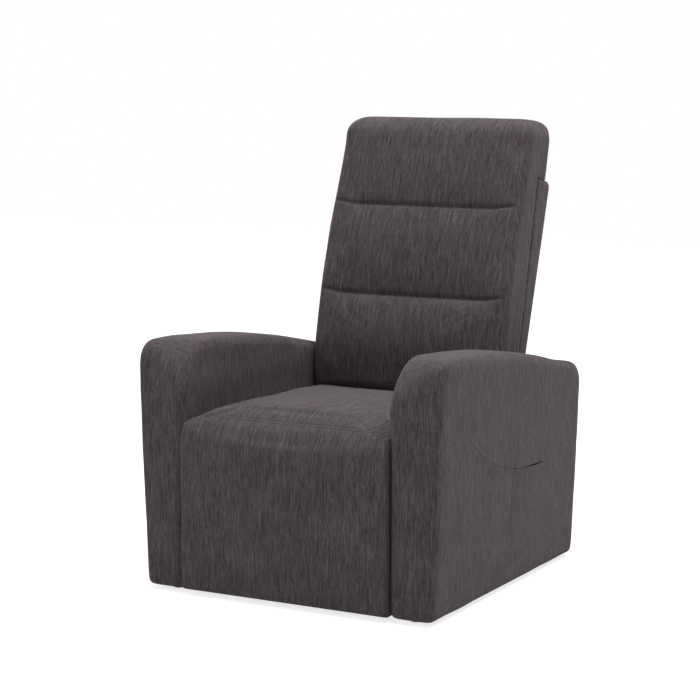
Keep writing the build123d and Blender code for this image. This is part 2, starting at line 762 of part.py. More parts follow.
# Footrest pad: front panel and roll in one, with pockets for the hinge plates and brackets
roll_side = shifted(hinge_axis, turned(roll_radius, 180))
roll_middle = shifted(hinge_axis, turned(roll_radius, 180 - roll_end_angle / 2))
roll_end = shifted(hinge_axis, turned(roll_radius, 180 - roll_end_angle))
roll_heel = (hinge_y + roll_heel_step, hinge_z - hinge_eye_radius / 2)
swing_edge = hinge_arm_width / 2 + hinge_plate_gap
swing_low = degrees(atan2(hinge_knee_height - hinge_z, front_y + hinge_knee_setback - hinge_y))
swing_high = swing_low + footrest_travel
recess_x = bracket_plane_x - hinge_plate_gap - joint_gap
recess_high = turned(swing_edge, swing_high + 90)
recess_low = turned(swing_edge, recess_angle - 90)
recess_outline = [
    shifted(hinge_axis, recess_high),
    shifted(hinge_axis, shifted(recess_high, turned(2 * roll_radius, swing_high))),
    shifted(hinge_axis, turned(4 * roll_radius, 0)),
    shifted(hinge_axis, shifted(recess_low, turned(2 * roll_radius, recess_angle))),
    shifted(hinge_axis, recess_low),
]
with BuildPart() as footrest_pad:
    with BuildSketch(Plane.YZ) as footrest_profile:
        with BuildLine():
            Line((footrest_back_y, footrest_floor_gap), (front_y, footrest_floor_gap))
            Line((front_y, footrest_floor_gap), roll_side)
            ThreePointArc(roll_side, roll_middle, roll_end)
            Polyline(
                roll_end,
                roll_heel,
                (footrest_back_y, footrest_board_top),
                (footrest_back_y, footrest_floor_gap),
            )
        make_face()
        fillet(
            footrest_profile.vertices().sort_by_distance((front_y, footrest_floor_gap))[0],
            arm_toe_radius,
        )
    extrude(amount=pad_half_width + fit_gap, both=True)
    with BuildSketch(Plane.XZ):
        pad_front_outline(
            footrest_floor_gap - corner_rise,
            roll_top + corner_rise,
            corner_rise,
            pad_corner_radius + corner_rise,
        )
    extrude(amount=arm_length, both=True, mode=Mode.INTERSECT)
    block(
        (-pad_half_width + footrest_board_inset, pad_half_width - footrest_board_inset),
        (footrest_back_y - footrest_board_thickness, footrest_back_y + fit_gap),
        (footrest_floor_gap + footrest_board_inset, footrest_board_top + fit_gap),
        mode=Mode.SUBTRACT,
    )
    for side in SIDES.values():
        with BuildSketch(side_plane(side, recess_x)):
            with BuildLine():
                Polyline(*recess_outline, close=True)
            make_face()
            dot(hinge_axis, hinge_eye_radius + joint_gap)
        extrude(amount=side * (side_rail_inner_x + hinge_plate_gap - recess_x), mode=Mode.SUBTRACT)
save(footrest_pad.part, "footrest_pad")


def back_side_point(height, depth):
    """Point in the back's side sketch, by height up the back and depth behind its front face."""
    return (-depth, height)


def head_roll_point(radius, angle):
    """Point round the headrest hinge, at an angle below straight forwards."""
    return (
        -head_axis_depth + radius * cos(radians(angle)),
        head_axis_height - radius * sin(radians(angle)),
    )


def padded_outline(half_width, rear, front, edge):
    """Plan view of a back pad: crowned front, rounded sides."""
    with BuildLine() as outline:
        rear_left = (-half_width, -rear)
        rear_right = (half_width, -rear)
        level = front - face_draw
        side_left = (-half_width, level - edge)
        side_right = (half_width, level - edge)
        shoulder = half_width - edge
        bend = arc_bend(edge)
        Line(rear_right, rear_left)
        Line(rear_left, side_left)
        ThreePointArc(side_left, (-half_width + bend, level - bend), (-shoulder, level))
        ThreePointArc((-shoulder, level), (0, front + face_play), (shoulder, level))
        ThreePointArc((shoulder, level), (half_width - bend, level - bend), side_right)
        Line(side_right, rear_right)
    make_face(outline.edges())


# Plan section of the back: X across and the face's outward direction upwards in the sketch
back_plan = Plane(
    origin=(0, back_y, back_origin_height),
    x_dir=(1, 0, 0),
    z_dir=(0, -sin(lean), -cos(lean)),
)

# Back pad: lower and middle section with a sewn channel between them
pad_socket = head_roll_radius + joint_gap
crease = head_roll_point(pad_socket, head_crease_angle)
socket_drop = sqrt(pad_socket**2 - (back_pad_depth - head_axis_depth) ** 2)
socket_back = back_side_point(head_axis_height - socket_drop, back_pad_depth)
with BuildPart() as back_pad:
    with BuildSketch(back_side):
        with BuildLine():
            pad_foot = back_side_point(back_pad_bottom, back_foot_depth)
            channel = back_side_point(back_channel_height, -channel_front)
            lumbar_top = back_side_point((back_pad_bottom + back_channel_height) / 2, -lumbar_crown)
            middle_top = back_side_point((back_channel_height + crease[1]) / 2, -middle_crown)
            ThreePointArc(pad_foot, lumbar_top, channel)
            ThreePointArc(channel, middle_top, crease)
            ThreePointArc(crease, head_roll_point(pad_socket, head_socket_angle), socket_back)
            Polyline(socket_back, back_side_point(back_pad_bottom, back_pad_depth), pad_foot)
        make_face()
    extrude(amount=back_pad_half_width, both=True)
    with BuildSketch(back_plan):
        padded_outline(back_pad_half_width, back_pad_depth, lumbar_crown, back_pad_edge)
    extrude(amount=2 * head_top, both=True, mode=Mode.INTERSECT)
    with BuildSketch(back_front):
        with BuildLine():
            half = back_pad_half_width
            waist = half - back_side_draw
            lower_middle = (back_pad_bottom + back_channel_height) / 2
            upper_middle = (back_channel_height + head_axis_height) / 2
            ThreePointArc((waist, back_pad_bottom), (half, lower_middle), (waist, back_channel_height))
            ThreePointArc((waist, back_channel_height), (half, upper_middle), (waist, head_axis_height))
            Line((waist, head_axis_height), (-waist, head_axis_height))
            ThreePointArc((-waist, head_axis_height), (-half, upper_middle), (-waist, back_channel_height))
            ThreePointArc((-waist, back_channel_height), (-half, lower_middle), (-waist, back_pad_bottom))
            Line((-waist, back_pad_bottom), (waist, back_pad_bottom))
        make_face()
    extrude(amount=2 * head_depth, both=True, mode=Mode.INTERSECT)
save(back_pad.part, "back_pad")

# Rails of the back frame, between the stiles
frame_front = -back_pad_depth - strap_thickness
for rail_name, rail_low, rail_half in (
    ("back_bottom_rail", stile_bottom, bracket_plane_x),
    ("back_top_rail", stile_top - back_rail_height, bracket_outer_x),
):
    with BuildPart() as back_rail:
        with BuildSketch(back_front.offset(frame_front)):
            with Locations((0, rail_low + back_rail_height / 2)):
                Rectangle(2 * rail_half, back_rail_height)
        extrude(amount=-stile_depth)
    save(back_rail.part, rail_name)

# Elastic straps across the back frame
with BuildPart() as back_straps:
    with BuildSketch(back_front.offset(frame_front)):
        for height in strap_heights:
            with Locations((0, height)):
                Rectangle(2 * (bracket_outer_x + stile_width), strap_height)
    extrude(amount=strap_thickness - fit_gap)
save(back_straps.part, "back_straps")

# Outside back: upholstered shell that holds the back frame
with BuildPart() as back_shell:
    with BuildSketch(back_side) as shell_profile:
        with BuildLine():
            Polyline(
                back_side_point(shell_bottom, back_pad_depth + strap_thickness),
                back_side_point(shell_top, back_pad_depth + strap_thickness),
                back_side_point(shell_top, shell_depth_top),
                back_side_point(shell_bottom, shell_depth_bottom),
                close=True,
            )
        make_face()
    extrude(amount=shell_half_width, both=True)
    with BuildSketch(back_front) as shell_outline:
        with Locations((0, (shell_bottom + shell_top) / 2)):
            Rectangle(2 * shell_half_width, shell_top - shell_bottom)
        fillet(shell_outline.vertices().group_by(Axis.Y)[-1], shell_corner_radius)
    extrude(amount=2 * shell_depth_top, both=True, mode=Mode.INTERSECT)
    rear_rim = back_shell.faces().sort_by(Axis((0, 0, 0), tuple(back_front.z_dir)))[0].edges()
    fillet(rear_rim.sort_by(Axis.Z)[1:], shell_edge_radius)
    with BuildSketch(back_side):
        with BuildLine():
            Polyline(
                back_side_point(shell_bottom - shell_wall, back_pad_depth),
                back_side_point(shell_top - shell_corner_radius / 2, back_pad_depth),
                back_side_point(shell_top - shell_corner_radius / 2, shell_depth_top - 2 * shell_wall),
                back_side_point(shell_bottom - shell_wall, shell_depth_bottom - shell_wall),
                close=True,
            )
        make_face()
    extrude(amount=bracket_outer_x + stile_width + fit_gap, both=True, mode=Mode.SUBTRACT)
save(back_shell.part, "back_shell")

# Headrest hinges: lower leaves on the back's top rail, upper leaves on the headrest board
head_axis = head_roll_point(0, 0)
leaf_thickness = bracket_thickness
upper_leaf_x = head_hinge_x + leaf_thickness + hinge_plate_gap
board_rear = head_board_front + head_board_thickness
rail_face = back_pad_depth + strap_thickness
with BuildPart() as head_hinge_lower:
    for side in SIDES.values():
        with BuildSketch(back_side.offset(-side * head_hinge_x)):
            leaf_middle = (head_axis[0] - rail_face) / 2
            dot(head_axis, head_eye_radius)
            with Locations((leaf_middle, stile_top - back_rail_height / 2)):
                Rectangle(rail_face + head_axis[0], back_rail_height)
            dot(head_axis, pin_diameter / 2 + running_gap, mode=Mode.SUBTRACT)
        extrude(amount=-side * leaf_thickness)
save(head_hinge_lower.part, "headrest_hinge_lower")

with BuildPart() as head_hinge_upper:
    for side in SIDES.values():
        with BuildSketch(back_side.offset(-side * upper_leaf_x)):
            dot(head_axis, head_eye_radius)
            leaf_middle_height = head_axis_height + head_leaf_length / 2
            with Locations((-board_rear - head_leaf_width / 2, leaf_middle_height)):
                Rectangle(head_leaf_width, head_leaf_length)
        extrude(amount=-side * leaf_thickness)
        with BuildSketch(back_side.offset(-side * (head_hinge_x - hinge_plate_gap))):
            dot(head_axis, pin_diameter / 2)
        extrude(amount=-side * (upper_leaf_x - head_hinge_x + hinge_plate_gap))
save(head_hinge_upper.part, "headrest_hinge_upper")

with BuildPart() as headrest_board:
    with BuildSketch(back_front.offset(-head_board_front)):
        with Locations((0, (head_board_bottom + head_board_top) / 2)):
            RectangleRounded(
                2 * head_board_half_width, head_board_top - head_board_bottom, head_corner_radius / 2
            )
    extrude(amount=-head_board_thickness)
save(headrest_board.part, "headrest_board")

# Headrest pad: its lower end is a roll round the hinge, its upper end overhangs the shell
with BuildPart() as headrest_pad:
    with BuildSketch(back_side) as head_profile:
        with BuildLine():
            crease_point = head_roll_point(head_roll_radius, head_crease_angle)
            roll_front = head_roll_point(head_roll_radius, 0)
            heel = head_roll_point(head_roll_radius, head_heel_angle)
            neck_low = back_side_point(head_axis_height - head_eye_radius, head_neck_depth)
            neck_high = back_side_point(shell_top + plane_gap, head_neck_depth)
            nape = back_side_point(shell_top + plane_gap, head_depth)
            rear_top = back_side_point(head_top - head_rear_radius, head_depth)
            top_rear = back_side_point(head_top, head_depth - head_rear_radius)
            top_front = back_side_point(head_top, head_front_radius)
            front_top = back_side_point(head_top - head_front_radius, 0)
            front_middle = back_side_point(
                (head_top - head_front_radius + head_axis_height) / 2, -head_crown
            )
            front_bend = arc_bend(head_front_radius)
            rear_bend = arc_bend(head_rear_radius)
            ThreePointArc(heel, head_roll_point(head_roll_radius, head_heel_angle / 2), roll_front)
            ThreePointArc(roll_front, front_middle, front_top)
            ThreePointArc(front_top, back_side_point(head_top - front_bend, front_bend), top_front)
            Line(top_front, top_rear)
            ThreePointArc(top_rear, back_side_point(head_top - rear_bend, head_depth - rear_bend), rear_top)
            Polyline(rear_top, nape, neck_high, neck_low, heel)
        make_face()
    extrude(amount=head_half_width, both=True)
    with BuildSketch(back_plan):
        padded_outline(head_half_width, head_depth, head_crown, head_pad_edge)
    extrude(amount=2 * head_top, both=True, mode=Mode.INTERSECT)
    with BuildSketch(back_front) as head_outline:
        with BuildLine():
            half = head_half_width
            waist = half - back_side_draw
            low = head_axis_height - head_roll_radius
            high = head_top - head_corner_radius
            bend = arc_bend(head_corner_radius)
            ThreePointArc((waist, low), (half, (low + high) / 2), (waist, high))
            flat = waist - head_corner_radius
            ThreePointArc((waist, high), (waist - bend, head_top - bend), (flat, head_top))
            Line((flat, head_top), (-flat, head_top))
            ThreePointArc((-flat, head_top), (-waist + bend, head_top - bend), (-waist, high))
            ThreePointArc((-waist, high), (-half, (low + high) / 2), (-waist, low))
            Line((-waist, low), (waist, low))
        make_face()
    extrude(amount=2 * head_depth, both=True, mode=Mode.INTERSECT)
    with BuildSketch(back_front.offset(-head_board_front + fit_gap)):
        with Locations((0, (head_board_bottom + head_board_top) / 2)):
            Rectangle(
                2 * (head_board_half_width + fit_gap),
                head_board_top - head_board_bottom + 2 * fit_gap,
            )
    extrude(amount=-head_board_thickness - 2 * fit_gap, mode=Mode.SUBTRACT)
    slot_top = head_axis_height + head_leaf_length + fit_gap
    slot_front = head_axis_depth - head_eye_radius - plane_gap
    for side in SIDES.values():
        with BuildSketch(back_side.offset(-side * (head_hinge_x - 2 * hinge_plate_gap))):
            with BuildLine():
                Polyline(
                    back_side_point(slot_top, head_depth),
                    back_side_point(slot_top, board_rear),
                    back_side_point(head_axis_height + head_eye_radius, slot_front),
                    back_side_point(head_axis_height - head_roll_radius, slot_front),
                    back_side_point(head_axis_height - head_roll_radius, head_depth),
                    close=True,
                )
            make_face()
        extrude(
            amount=-side * (upper_leaf_x - head_hinge_x + leaf_thickness + 3 * hinge_plate_gap),
            mode=Mode.SUBTRACT,
        )
save(headrest_pad.part, "headrest_pad")

# Base cross rails between the arm panels
for rail_name, rail_start, rail_height in (
    ("front_base_rail", front_y + front_base_rail_setback, front_base_rail_height),
    ("rear_base_rail", rear_base_rail_y, rear_base_rail_height),
):
    with BuildPart() as base_rail:
        block(
            (-arm_inner_x, arm_inner_x),
            (rail_start, rail_start + base_rail_width),
            (base_rail_bottom, base_rail_bottom + rail_height),
        )
    save(base_rail.part, rail_name)

# Upholstered lower rear panel, slightly crowned
with BuildPart() as rear_panel:
    with BuildSketch(Plane.XY.offset(rear_panel_bottom)):
        with BuildLine():
            panel_half = arm_inner_x - fit_gap
            panel_rear = rear_panel_y + rear_panel_thickness - rear_panel_crown
            Polyline(
                (-panel_half, panel_rear),
                (-panel_half, rear_panel_y),
                (panel_half, rear_panel_y),
                (panel_half, panel_rear),
            )
            panel_middle = (0, panel_rear + rear_panel_crown)
            ThreePointArc((panel_half, panel_rear), panel_middle, (-panel_half, panel_rear))
        make_face()
    extrude(amount=rear_panel_top - rear_panel_bottom)
    fillet(rear_panel.edges().group_by(Axis.Z)[-1].sort_by(Axis.Y)[-1], rear_panel_thickness / 3)
save(rear_panel.part, "rear_panel")

# Glides under the arm posts
with BuildPart() as floor_glides:
    with BuildSketch(Plane.XY):
        for side in SIDES.values():
            for y_range in post_ranges.values():
                with Locations((side * (panel_outer_x + frame_outer_x) / 2, sum(y_range) / 2)):
                    Circle(glide_diameter / 2)
    extrude(amount=glide_height)
    chamfer(floor_glides.edges().group_by(Axis.Z)[0], glide_height / 4)
save(floor_glides.part, "floor_glides")
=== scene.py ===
import json
import math

import bmesh
import bpy
import numpy as np
from bpy.props import FloatProperty, FloatVectorProperty, PointerProperty
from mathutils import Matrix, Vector
from mathutils.bvhtree import BVHTree


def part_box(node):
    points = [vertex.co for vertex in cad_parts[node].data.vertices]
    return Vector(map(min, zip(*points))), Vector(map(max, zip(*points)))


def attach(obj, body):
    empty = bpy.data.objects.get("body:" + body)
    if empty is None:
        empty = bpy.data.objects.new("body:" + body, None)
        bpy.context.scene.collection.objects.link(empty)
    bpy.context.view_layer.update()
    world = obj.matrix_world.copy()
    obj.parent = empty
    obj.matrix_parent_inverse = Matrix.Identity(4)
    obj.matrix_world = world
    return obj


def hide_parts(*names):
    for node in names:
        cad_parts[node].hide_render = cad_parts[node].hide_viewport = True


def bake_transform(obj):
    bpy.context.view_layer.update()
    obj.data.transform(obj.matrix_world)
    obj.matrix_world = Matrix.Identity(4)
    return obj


bl_info = {
    "name": "Recliner armchair upholstery",
    "version": (1, 0, 0),
    "blender": (4, 5, 0),
    "location": "3D View > Sidebar > Armchair",
    "description": "Covers, stitching, finishes and stage of a push-back recliner armchair",
    "category": "Object",
}

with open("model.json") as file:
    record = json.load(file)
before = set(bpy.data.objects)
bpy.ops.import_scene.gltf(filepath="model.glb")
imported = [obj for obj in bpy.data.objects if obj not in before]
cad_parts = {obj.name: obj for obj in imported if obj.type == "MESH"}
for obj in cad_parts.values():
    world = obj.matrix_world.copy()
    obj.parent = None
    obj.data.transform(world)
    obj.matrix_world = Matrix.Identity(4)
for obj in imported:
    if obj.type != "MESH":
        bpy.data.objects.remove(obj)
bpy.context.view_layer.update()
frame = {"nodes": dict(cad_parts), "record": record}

# Places in the chair's frame, in metres
FRONT_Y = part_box("arm_cover_left")[0][1]
GLIDE = 0.008

# Arms: inner face, foot and lean of the outer face, and the top line, which falls faster behind its break
ARM_INNER_X, ARM_FOOT_X = 0.270, 0.379
FLARE = math.atan2(0.022, 0.592)
ARM_TOP, ARM_LENGTH = 0.600, 0.807
ARM_BREAK, ARM_BREAK_TOP = 0.401, 0.575
FRONT_FALL, REAR_FALL = 0.0623, 0.2118

# Roundings at the ends of the arm's top, on the solid and on the cover
FRONT_ROUND, COVER_ROUND_OUTER, COVER_ROUND_INNER = 0.115, 0.052, 0.122
REAR_ROUND, COVER_ROUND_REAR = 0.080, 0.054

# Pocket: a height between its panel's edges, and its mouth as setbacks and heights up the face
POCKET_SPLIT = 0.16
POCKET_MOUTH = np.array((
    (0.158, 0.402), (0.200, 0.366), (0.322, 0.310), (0.409, 0.288), (0.482, 0.279), (0.588, 0.277),
)) + (FRONT_Y, 0.0)
MOUTH_START, MOUTH_END = POCKET_MOUTH[0, 0], POCKET_MOUTH[-1, 0]

# Seat: front roll, about whose centre the footrest turns, its seam, and the half width its sides near
ROLL_RADIUS = 0.055
HINGE_Y, HINGE_Z = FRONT_Y + ROLL_RADIUS, 0.380
SEAM_ANGLE = math.radians(60.0)
SEAM_HALF = 0.236
SEAT_HALF = 0.2675

# Back: foot of its front face, its lean, and heights up the lean
BACK_Y, BACK_Z = FRONT_Y + 0.594, 0.395
LEAN = math.radians(14.0)
UP_LEAN = np.array((0.0, math.sin(LEAN), math.cos(LEAN)))
INTO_BACK = np.array((0.0, math.cos(LEAN), -math.sin(LEAN)))
BACK_FOOT, NAPE, BACK_TOP = 0.022, 0.5985, 0.7295
CREASES = (0.2635, 0.4960)
SHELL_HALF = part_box("back_shell")[1][0]

# Back cushion: side line of its front as heights and depths, and the depths of its rear and the headrest's
SIDE_LINE = (
    (BACK_FOOT, 0.002), (0.060, -0.012), (0.140, -0.029), (0.220, -0.031),
    (0.313, -0.031), (0.432, -0.023), (0.531, -0.0113), (0.650, 0.0),
)
CUSHION_REAR, HEADREST_REAR = 0.083, 0.132


class ChenilleSettings(bpy.types.PropertyGroup):
    """Colours and thread sizes of the upholstery cloth."""

    ground: FloatVectorProperty(
        name="Ground", description="Main colour of the pile",
        subtype="COLOR", size=3, default=(0.064, 0.053, 0.056),
    )
    shade: FloatVectorProperty(
        name="Shade", description="Dark slubs between the pile",
        subtype="COLOR", size=3, default=(0.030, 0.025, 0.027),
    )
    tip: FloatVectorProperty(
        name="Tip", description="Pale slubs on the pile",
        subtype="COLOR", size=3, default=(0.106, 0.092, 0.096),
    )
    warm: FloatVectorProperty(
        name="Warm thread", description="Rusty threads",
        subtype="COLOR", size=3, default=(0.082, 0.047, 0.048),
    )
    cool: FloatVectorProperty(
        name="Cool thread", description="Grey-green threads",
        subtype="COLOR", size=3, default=(0.054, 0.058, 0.053),
    )
    thread: FloatProperty(
        name="Thread", description="Width of one thread", unit="LENGTH", default=0.0016
    )
    slub: FloatProperty(name="Slub", description="Length of one slub", unit="LENGTH", default=0.046)


class CushionSettings(bpy.types.PropertyGroup):
    """How the padded covers are filled."""

    voxel: FloatProperty(
        name="Mesh size", description="Grid of the padded covers", unit="LENGTH", default=0.005
    )
    pressure: FloatProperty(name="Pressure", description="Filling of the cushions", default=4.0)
    seat_swell: FloatProperty(
        name="Seat swell", description="Furthest that the seat swells", unit="LENGTH", default=0.007
    )
    back_swell: FloatProperty(
        name="Back swell", description="Furthest that the back swells", unit="LENGTH", default=0.007
    )
    seat_crown: FloatProperty(
        name="Seat crown", description="How far the seat rises behind the front roll",
        unit="LENGTH", default=0.005,
    )
    panel_proud: FloatProperty(
        name="Panel proud", description="How far the front panel stands before the arms",
        unit="LENGTH", default=0.009,
    )
    panel_spread: FloatProperty(
        name="Panel spread", description="How far the front panel fills the arms' rounded edges",
        unit="LENGTH", default=0.0015,
    )
    mouth: FloatProperty(
        name="Mouth", description="How far the pocket's mouth is drawn shut", unit="LENGTH", default=0.0118
    )
    side_limit: FloatProperty(
        name="Side limit", description="Half width that fits between the arms", unit="LENGTH", default=0.2688
    )


class StitchSettings(bpy.types.PropertyGroup):
    """Topstitching on the seat's front roll."""

    length: FloatProperty(name="Stitch", description="Length of a stitch", unit="LENGTH", default=0.0062)
    pitch: FloatProperty(name="Pitch", description="Stitch to stitch", unit="LENGTH", default=0.0082)
    radius: FloatProperty(name="Thread radius", description="Sewing thread", unit="LENGTH", default=0.0007)
    rows: FloatProperty(name="Row gap", description="Between the two rows", unit="LENGTH", default=0.010)


class StageSettings(bpy.types.PropertyGroup):
    """Camera, lamps and floor."""

    camera: FloatVectorProperty(
        name="Camera", description="Place of the camera",
        subtype="TRANSLATION", size=3, default=(2.3567, FRONT_Y - 3.9598, 1.2418),
    )
    azimuth: FloatProperty(
        name="Azimuth", description="Turn of the view", subtype="ANGLE", default=math.radians(28.840)
    )
    pitch: FloatProperty(
        name="Pitch", description="Fall of the view", subtype="ANGLE", default=math.radians(7.974)
    )
    lens: FloatProperty(name="Lens", description="Focal length in millimetres", default=106.41)
    key: FloatProperty(name="Key", description="Power of the overhead lamp", unit="POWER", default=290.0)
    side: FloatProperty(
        name="Side", description="Power of the lamp before the right arm", unit="POWER", default=27.0
    )
    sky: FloatProperty(name="Sky", description="Light from all round", default=0.40)
    floor: FloatProperty(name="Floor", description="White that the floor adds to its light", default=0.76)


def settings(name):
    """One of the scene's groups of values."""
    return getattr(bpy.context.scene, "armchair_" + name)


# Node helpers


def set_inputs(tree, node, inputs):
    """Sets a node's inputs; a link is given as an output socket."""
    for key, value in inputs.items():
        if isinstance(value, bpy.types.NodeSocket):
            tree.links.new(value, node.inputs[key])
        else:
            node.inputs[key].default_value = value


def add_node(tree, kind, inputs=None, **values):
    """A node with its values and inputs set."""
    node = tree.nodes.new(kind)
    for key, value in values.items():
        setattr(node, key, value)
    set_inputs(tree, node, inputs or {})
    return node


def math_node(tree, operation, first, second=0.0, third=None):
    """Result of one sum."""
    inputs = {0: first, 1: second}
    if third is not None:
        inputs[2] = third
    return add_node(tree, "ShaderNodeMath", inputs, operation=operation).outputs[0]


def mix_colour(tree, factor, first, second):
    """Mix of two colours."""
    return add_node(tree, "ShaderNodeMix", {0: factor, 6: first, 7: second}, data_type="RGBA").outputs[2]


def span_node(tree, value, low, high):
    """Value between low and high, brought to 0 to 1 with a soft start and end."""
    inputs = {0: value, 1: low, 2: high}
    return add_node(tree, "ShaderNodeMapRange", inputs, interpolation_type="SMOOTHSTEP").outputs[0]


def noise_node(tree, vector, scale, detail, **more):
    """Cloudy values from 0 to 1; more gives further inputs by name."""
    inputs = {"Vector": vector, "Scale": scale, "Detail": detail, **more}
    return add_node(tree, "ShaderNodeTexNoise", inputs).outputs["Fac"]


def bump_node(tree, height, strength, distance):
    """Normals of a height."""
    inputs = {"Height": height, "Strength": strength, "Distance": distance}
    return add_node(tree, "ShaderNodeBump", inputs).outputs[0]


def seen_directly(tree):
    """1 for rays from the camera, from a reflection or through glass, else 0."""
    path = add_node(tree, "ShaderNodeLightPath").outputs
    seen = math_node(tree, "MAXIMUM", path["Is Camera Ray"], path["Is Glossy Ray"])
    return math_node(tree, "MAXIMUM", seen, path["Is Transmission Ray"])


def rgba(colour):
    """Colour with full cover."""
    return (*colour[:3], 1.0)


# Materials


def new_material(name):
    """Empty node material with a Principled shader."""
    material = bpy.data.materials.new(name)
    material.use_nodes = True
    tree = material.node_tree
    return material, tree, tree.nodes["Principled BSDF"]


def chenille_group():
    """Node group of the slub cloth. Threads run up and down upright faces and front to back on
    level ones; on the arm tops they run across. Puts out the pile's colour, with painted shade along
    the seat's two stitch rows, and its height."""
    name = "slub cloth"
    if name in bpy.data.node_groups:
        return bpy.data.node_groups[name]
    tree = bpy.data.node_groups.new(name, "ShaderNodeTree")
    made = tree.interface
    for label in ("Ground", "Shade", "Tip", "Warm", "Cool"):
        made.new_socket(label, in_out="INPUT", socket_type="NodeSocketColor")
    for label in ("Threads", "Slubs", "Across", "Rows"):
        made.new_socket(label, in_out="INPUT", socket_type="NodeSocketFloat")
    made.new_socket("Colour", in_out="OUTPUT", socket_type="NodeSocketColor")
    made.new_socket("Height", in_out="OUTPUT", socket_type="NodeSocketFloat")
    given = tree.nodes.new("NodeGroupInput").outputs
    rest = add_node(tree, "ShaderNodeAttribute", attribute_name="rest").outputs["Vector"]
    facing = add_node(tree, "ShaderNodeAttribute", attribute_name="rest_facing").outputs["Vector"]
    place = add_node(tree, "ShaderNodeSeparateXYZ", {0: rest}).outputs
    size = add_node(tree, "ShaderNodeSeparateXYZ", {0: facing}).outputs
    wide = [math_node(tree, "ABSOLUTE", size[axis]) for axis in range(3)]
    level = math_node(tree, "GREATER_THAN", wide[2], math_node(tree, "MAXIMUM", wide[0], wide[1]))
    sideways = math_node(tree, "GREATER_THAN", wide[0], wide[1])

    def pick(choice, when_set, otherwise):
        step = math_node(tree, "SUBTRACT", when_set, otherwise)
        return math_node(tree, "MULTIPLY_ADD", choice, step, otherwise)

    upright_across = pick(sideways, place[1], place[0])
    level_across = pick(given["Across"], place[1], place[0])
    level_along = pick(given["Across"], place[0], place[1])
    across = pick(level, level_across, upright_across)
    along = pick(level, level_along, place[2])

    def streaks(width, length, seed):
        u = math_node(tree, "MULTIPLY", across, width)
        v = math_node(tree, "MULTIPLY", along, length)
        vector = add_node(tree, "ShaderNodeCombineXYZ", {0: u, 1: v, 2: seed}).outputs[0]
        return noise_node(tree, vector, 1.0, 2.0, Roughness=0.55, Distortion=0.15)

    broad_threads = math_node(tree, "MULTIPLY", given["Threads"], 0.62)
    long_slubs = math_node(tree, "MULTIPLY", given["Slubs"], 0.6)
    short_slubs = math_node(tree, "MULTIPLY", given["Slubs"], 3.2)
    fine = streaks(given["Threads"], short_slubs, 1.7)
    slubs = streaks(broad_threads, given["Slubs"], 7.3)
    rust = streaks(broad_threads, long_slubs, 23.1)
    moss = streaks(broad_threads, long_slubs, 41.9)
    colour = given["Ground"]
    for streak, start, full, cover, label in (
        (slubs, 0.51, 0.71, 1.00, "Tip"), (slubs, 0.48, 0.31, 1.00, "Shade"),
        (fine, 0.50, 0.32, 0.70, "Shade"), (fine, 0.52, 0.72, 0.65, "Tip"),
        (rust, 0.60, 0.74, 0.55, "Warm"), (moss, 0.60, 0.74, 0.45, "Cool"),
    ):
        amount = math_node(tree, "MULTIPLY", span_node(tree, streak, start, full), cover)
        colour = mix_colour(tree, amount, colour, given[label])
    line = add_node(tree, "ShaderNodeAttribute", attribute_name="seam_line").outputs["Fac"]
    away = math_node(tree, "ABSOLUTE", math_node(tree, "SUBTRACT", line, 1.0))
    from_row = math_node(tree, "ABSOLUTE", math_node(tree, "SUBTRACT", away, given["Rows"]))
    groove_with_painted_shade = span_node(tree, from_row, 0.0016, 0.0004)
    # Painted shade: the cloth along both stitch rows of the seam is darkened towards the Shade colour, as
    # shade in their grooves
    colour = mix_colour(tree, math_node(tree, "MULTIPLY", groove_with_painted_shade, 0.75), colour, given["Shade"])
    cloud = noise_node(tree, rest, 9.0, 2.0)
    tone = math_node(tree, "MULTIPLY_ADD", cloud, 0.30, 0.85)
    toned = add_node(tree, "ShaderNodeVectorMath", {0: colour, "Scale": tone}, operation="SCALE")
    height = math_node(tree, "MULTIPLY_ADD", fine, 0.6, math_node(tree, "MULTIPLY", slubs, 0.8))
    height = math_node(tree, "MULTIPLY_ADD", groove_with_painted_shade, -1.2, height)
    out = tree.nodes.new("NodeGroupOutput")
    set_inputs(tree, out, {"Colour": toned.outputs[0], "Height": height})
    return tree


def chenille(name, across=0.0):
    """Slub cloth material; across is 1 where threads run across on level faces."""
    if name in bpy.data.materials:
        return bpy.data.materials[name]
    cloth = settings("chenille")
    material, tree, shader = new_material(name)
    inputs = {key.title(): rgba(getattr(cloth, key)) for key in ("ground", "shade", "tip", "warm", "cool")}
    inputs.update({"Threads": 1.0 / cloth.thread, "Slubs": 1.0 / cloth.slub})
    inputs.update({"Across": across, "Rows": settings("stitch").rows / 2})
    group = add_node(tree, "ShaderNodeGroup", inputs, node_tree=chenille_group())
    set_inputs(tree, shader, {
        "Base Color": group.outputs["Colour"],
        "Normal": bump_node(tree, group.outputs["Height"], 0.75, 0.0013),
        "Roughness": 0.93,
        "Specular IOR Level": 0.18,
        "Sheen Weight": 0.12,
        "Sheen Tint": (0.9, 0.8, 0.83, 1.0),
        "Sheen Roughness": 0.45,
    })
    return material


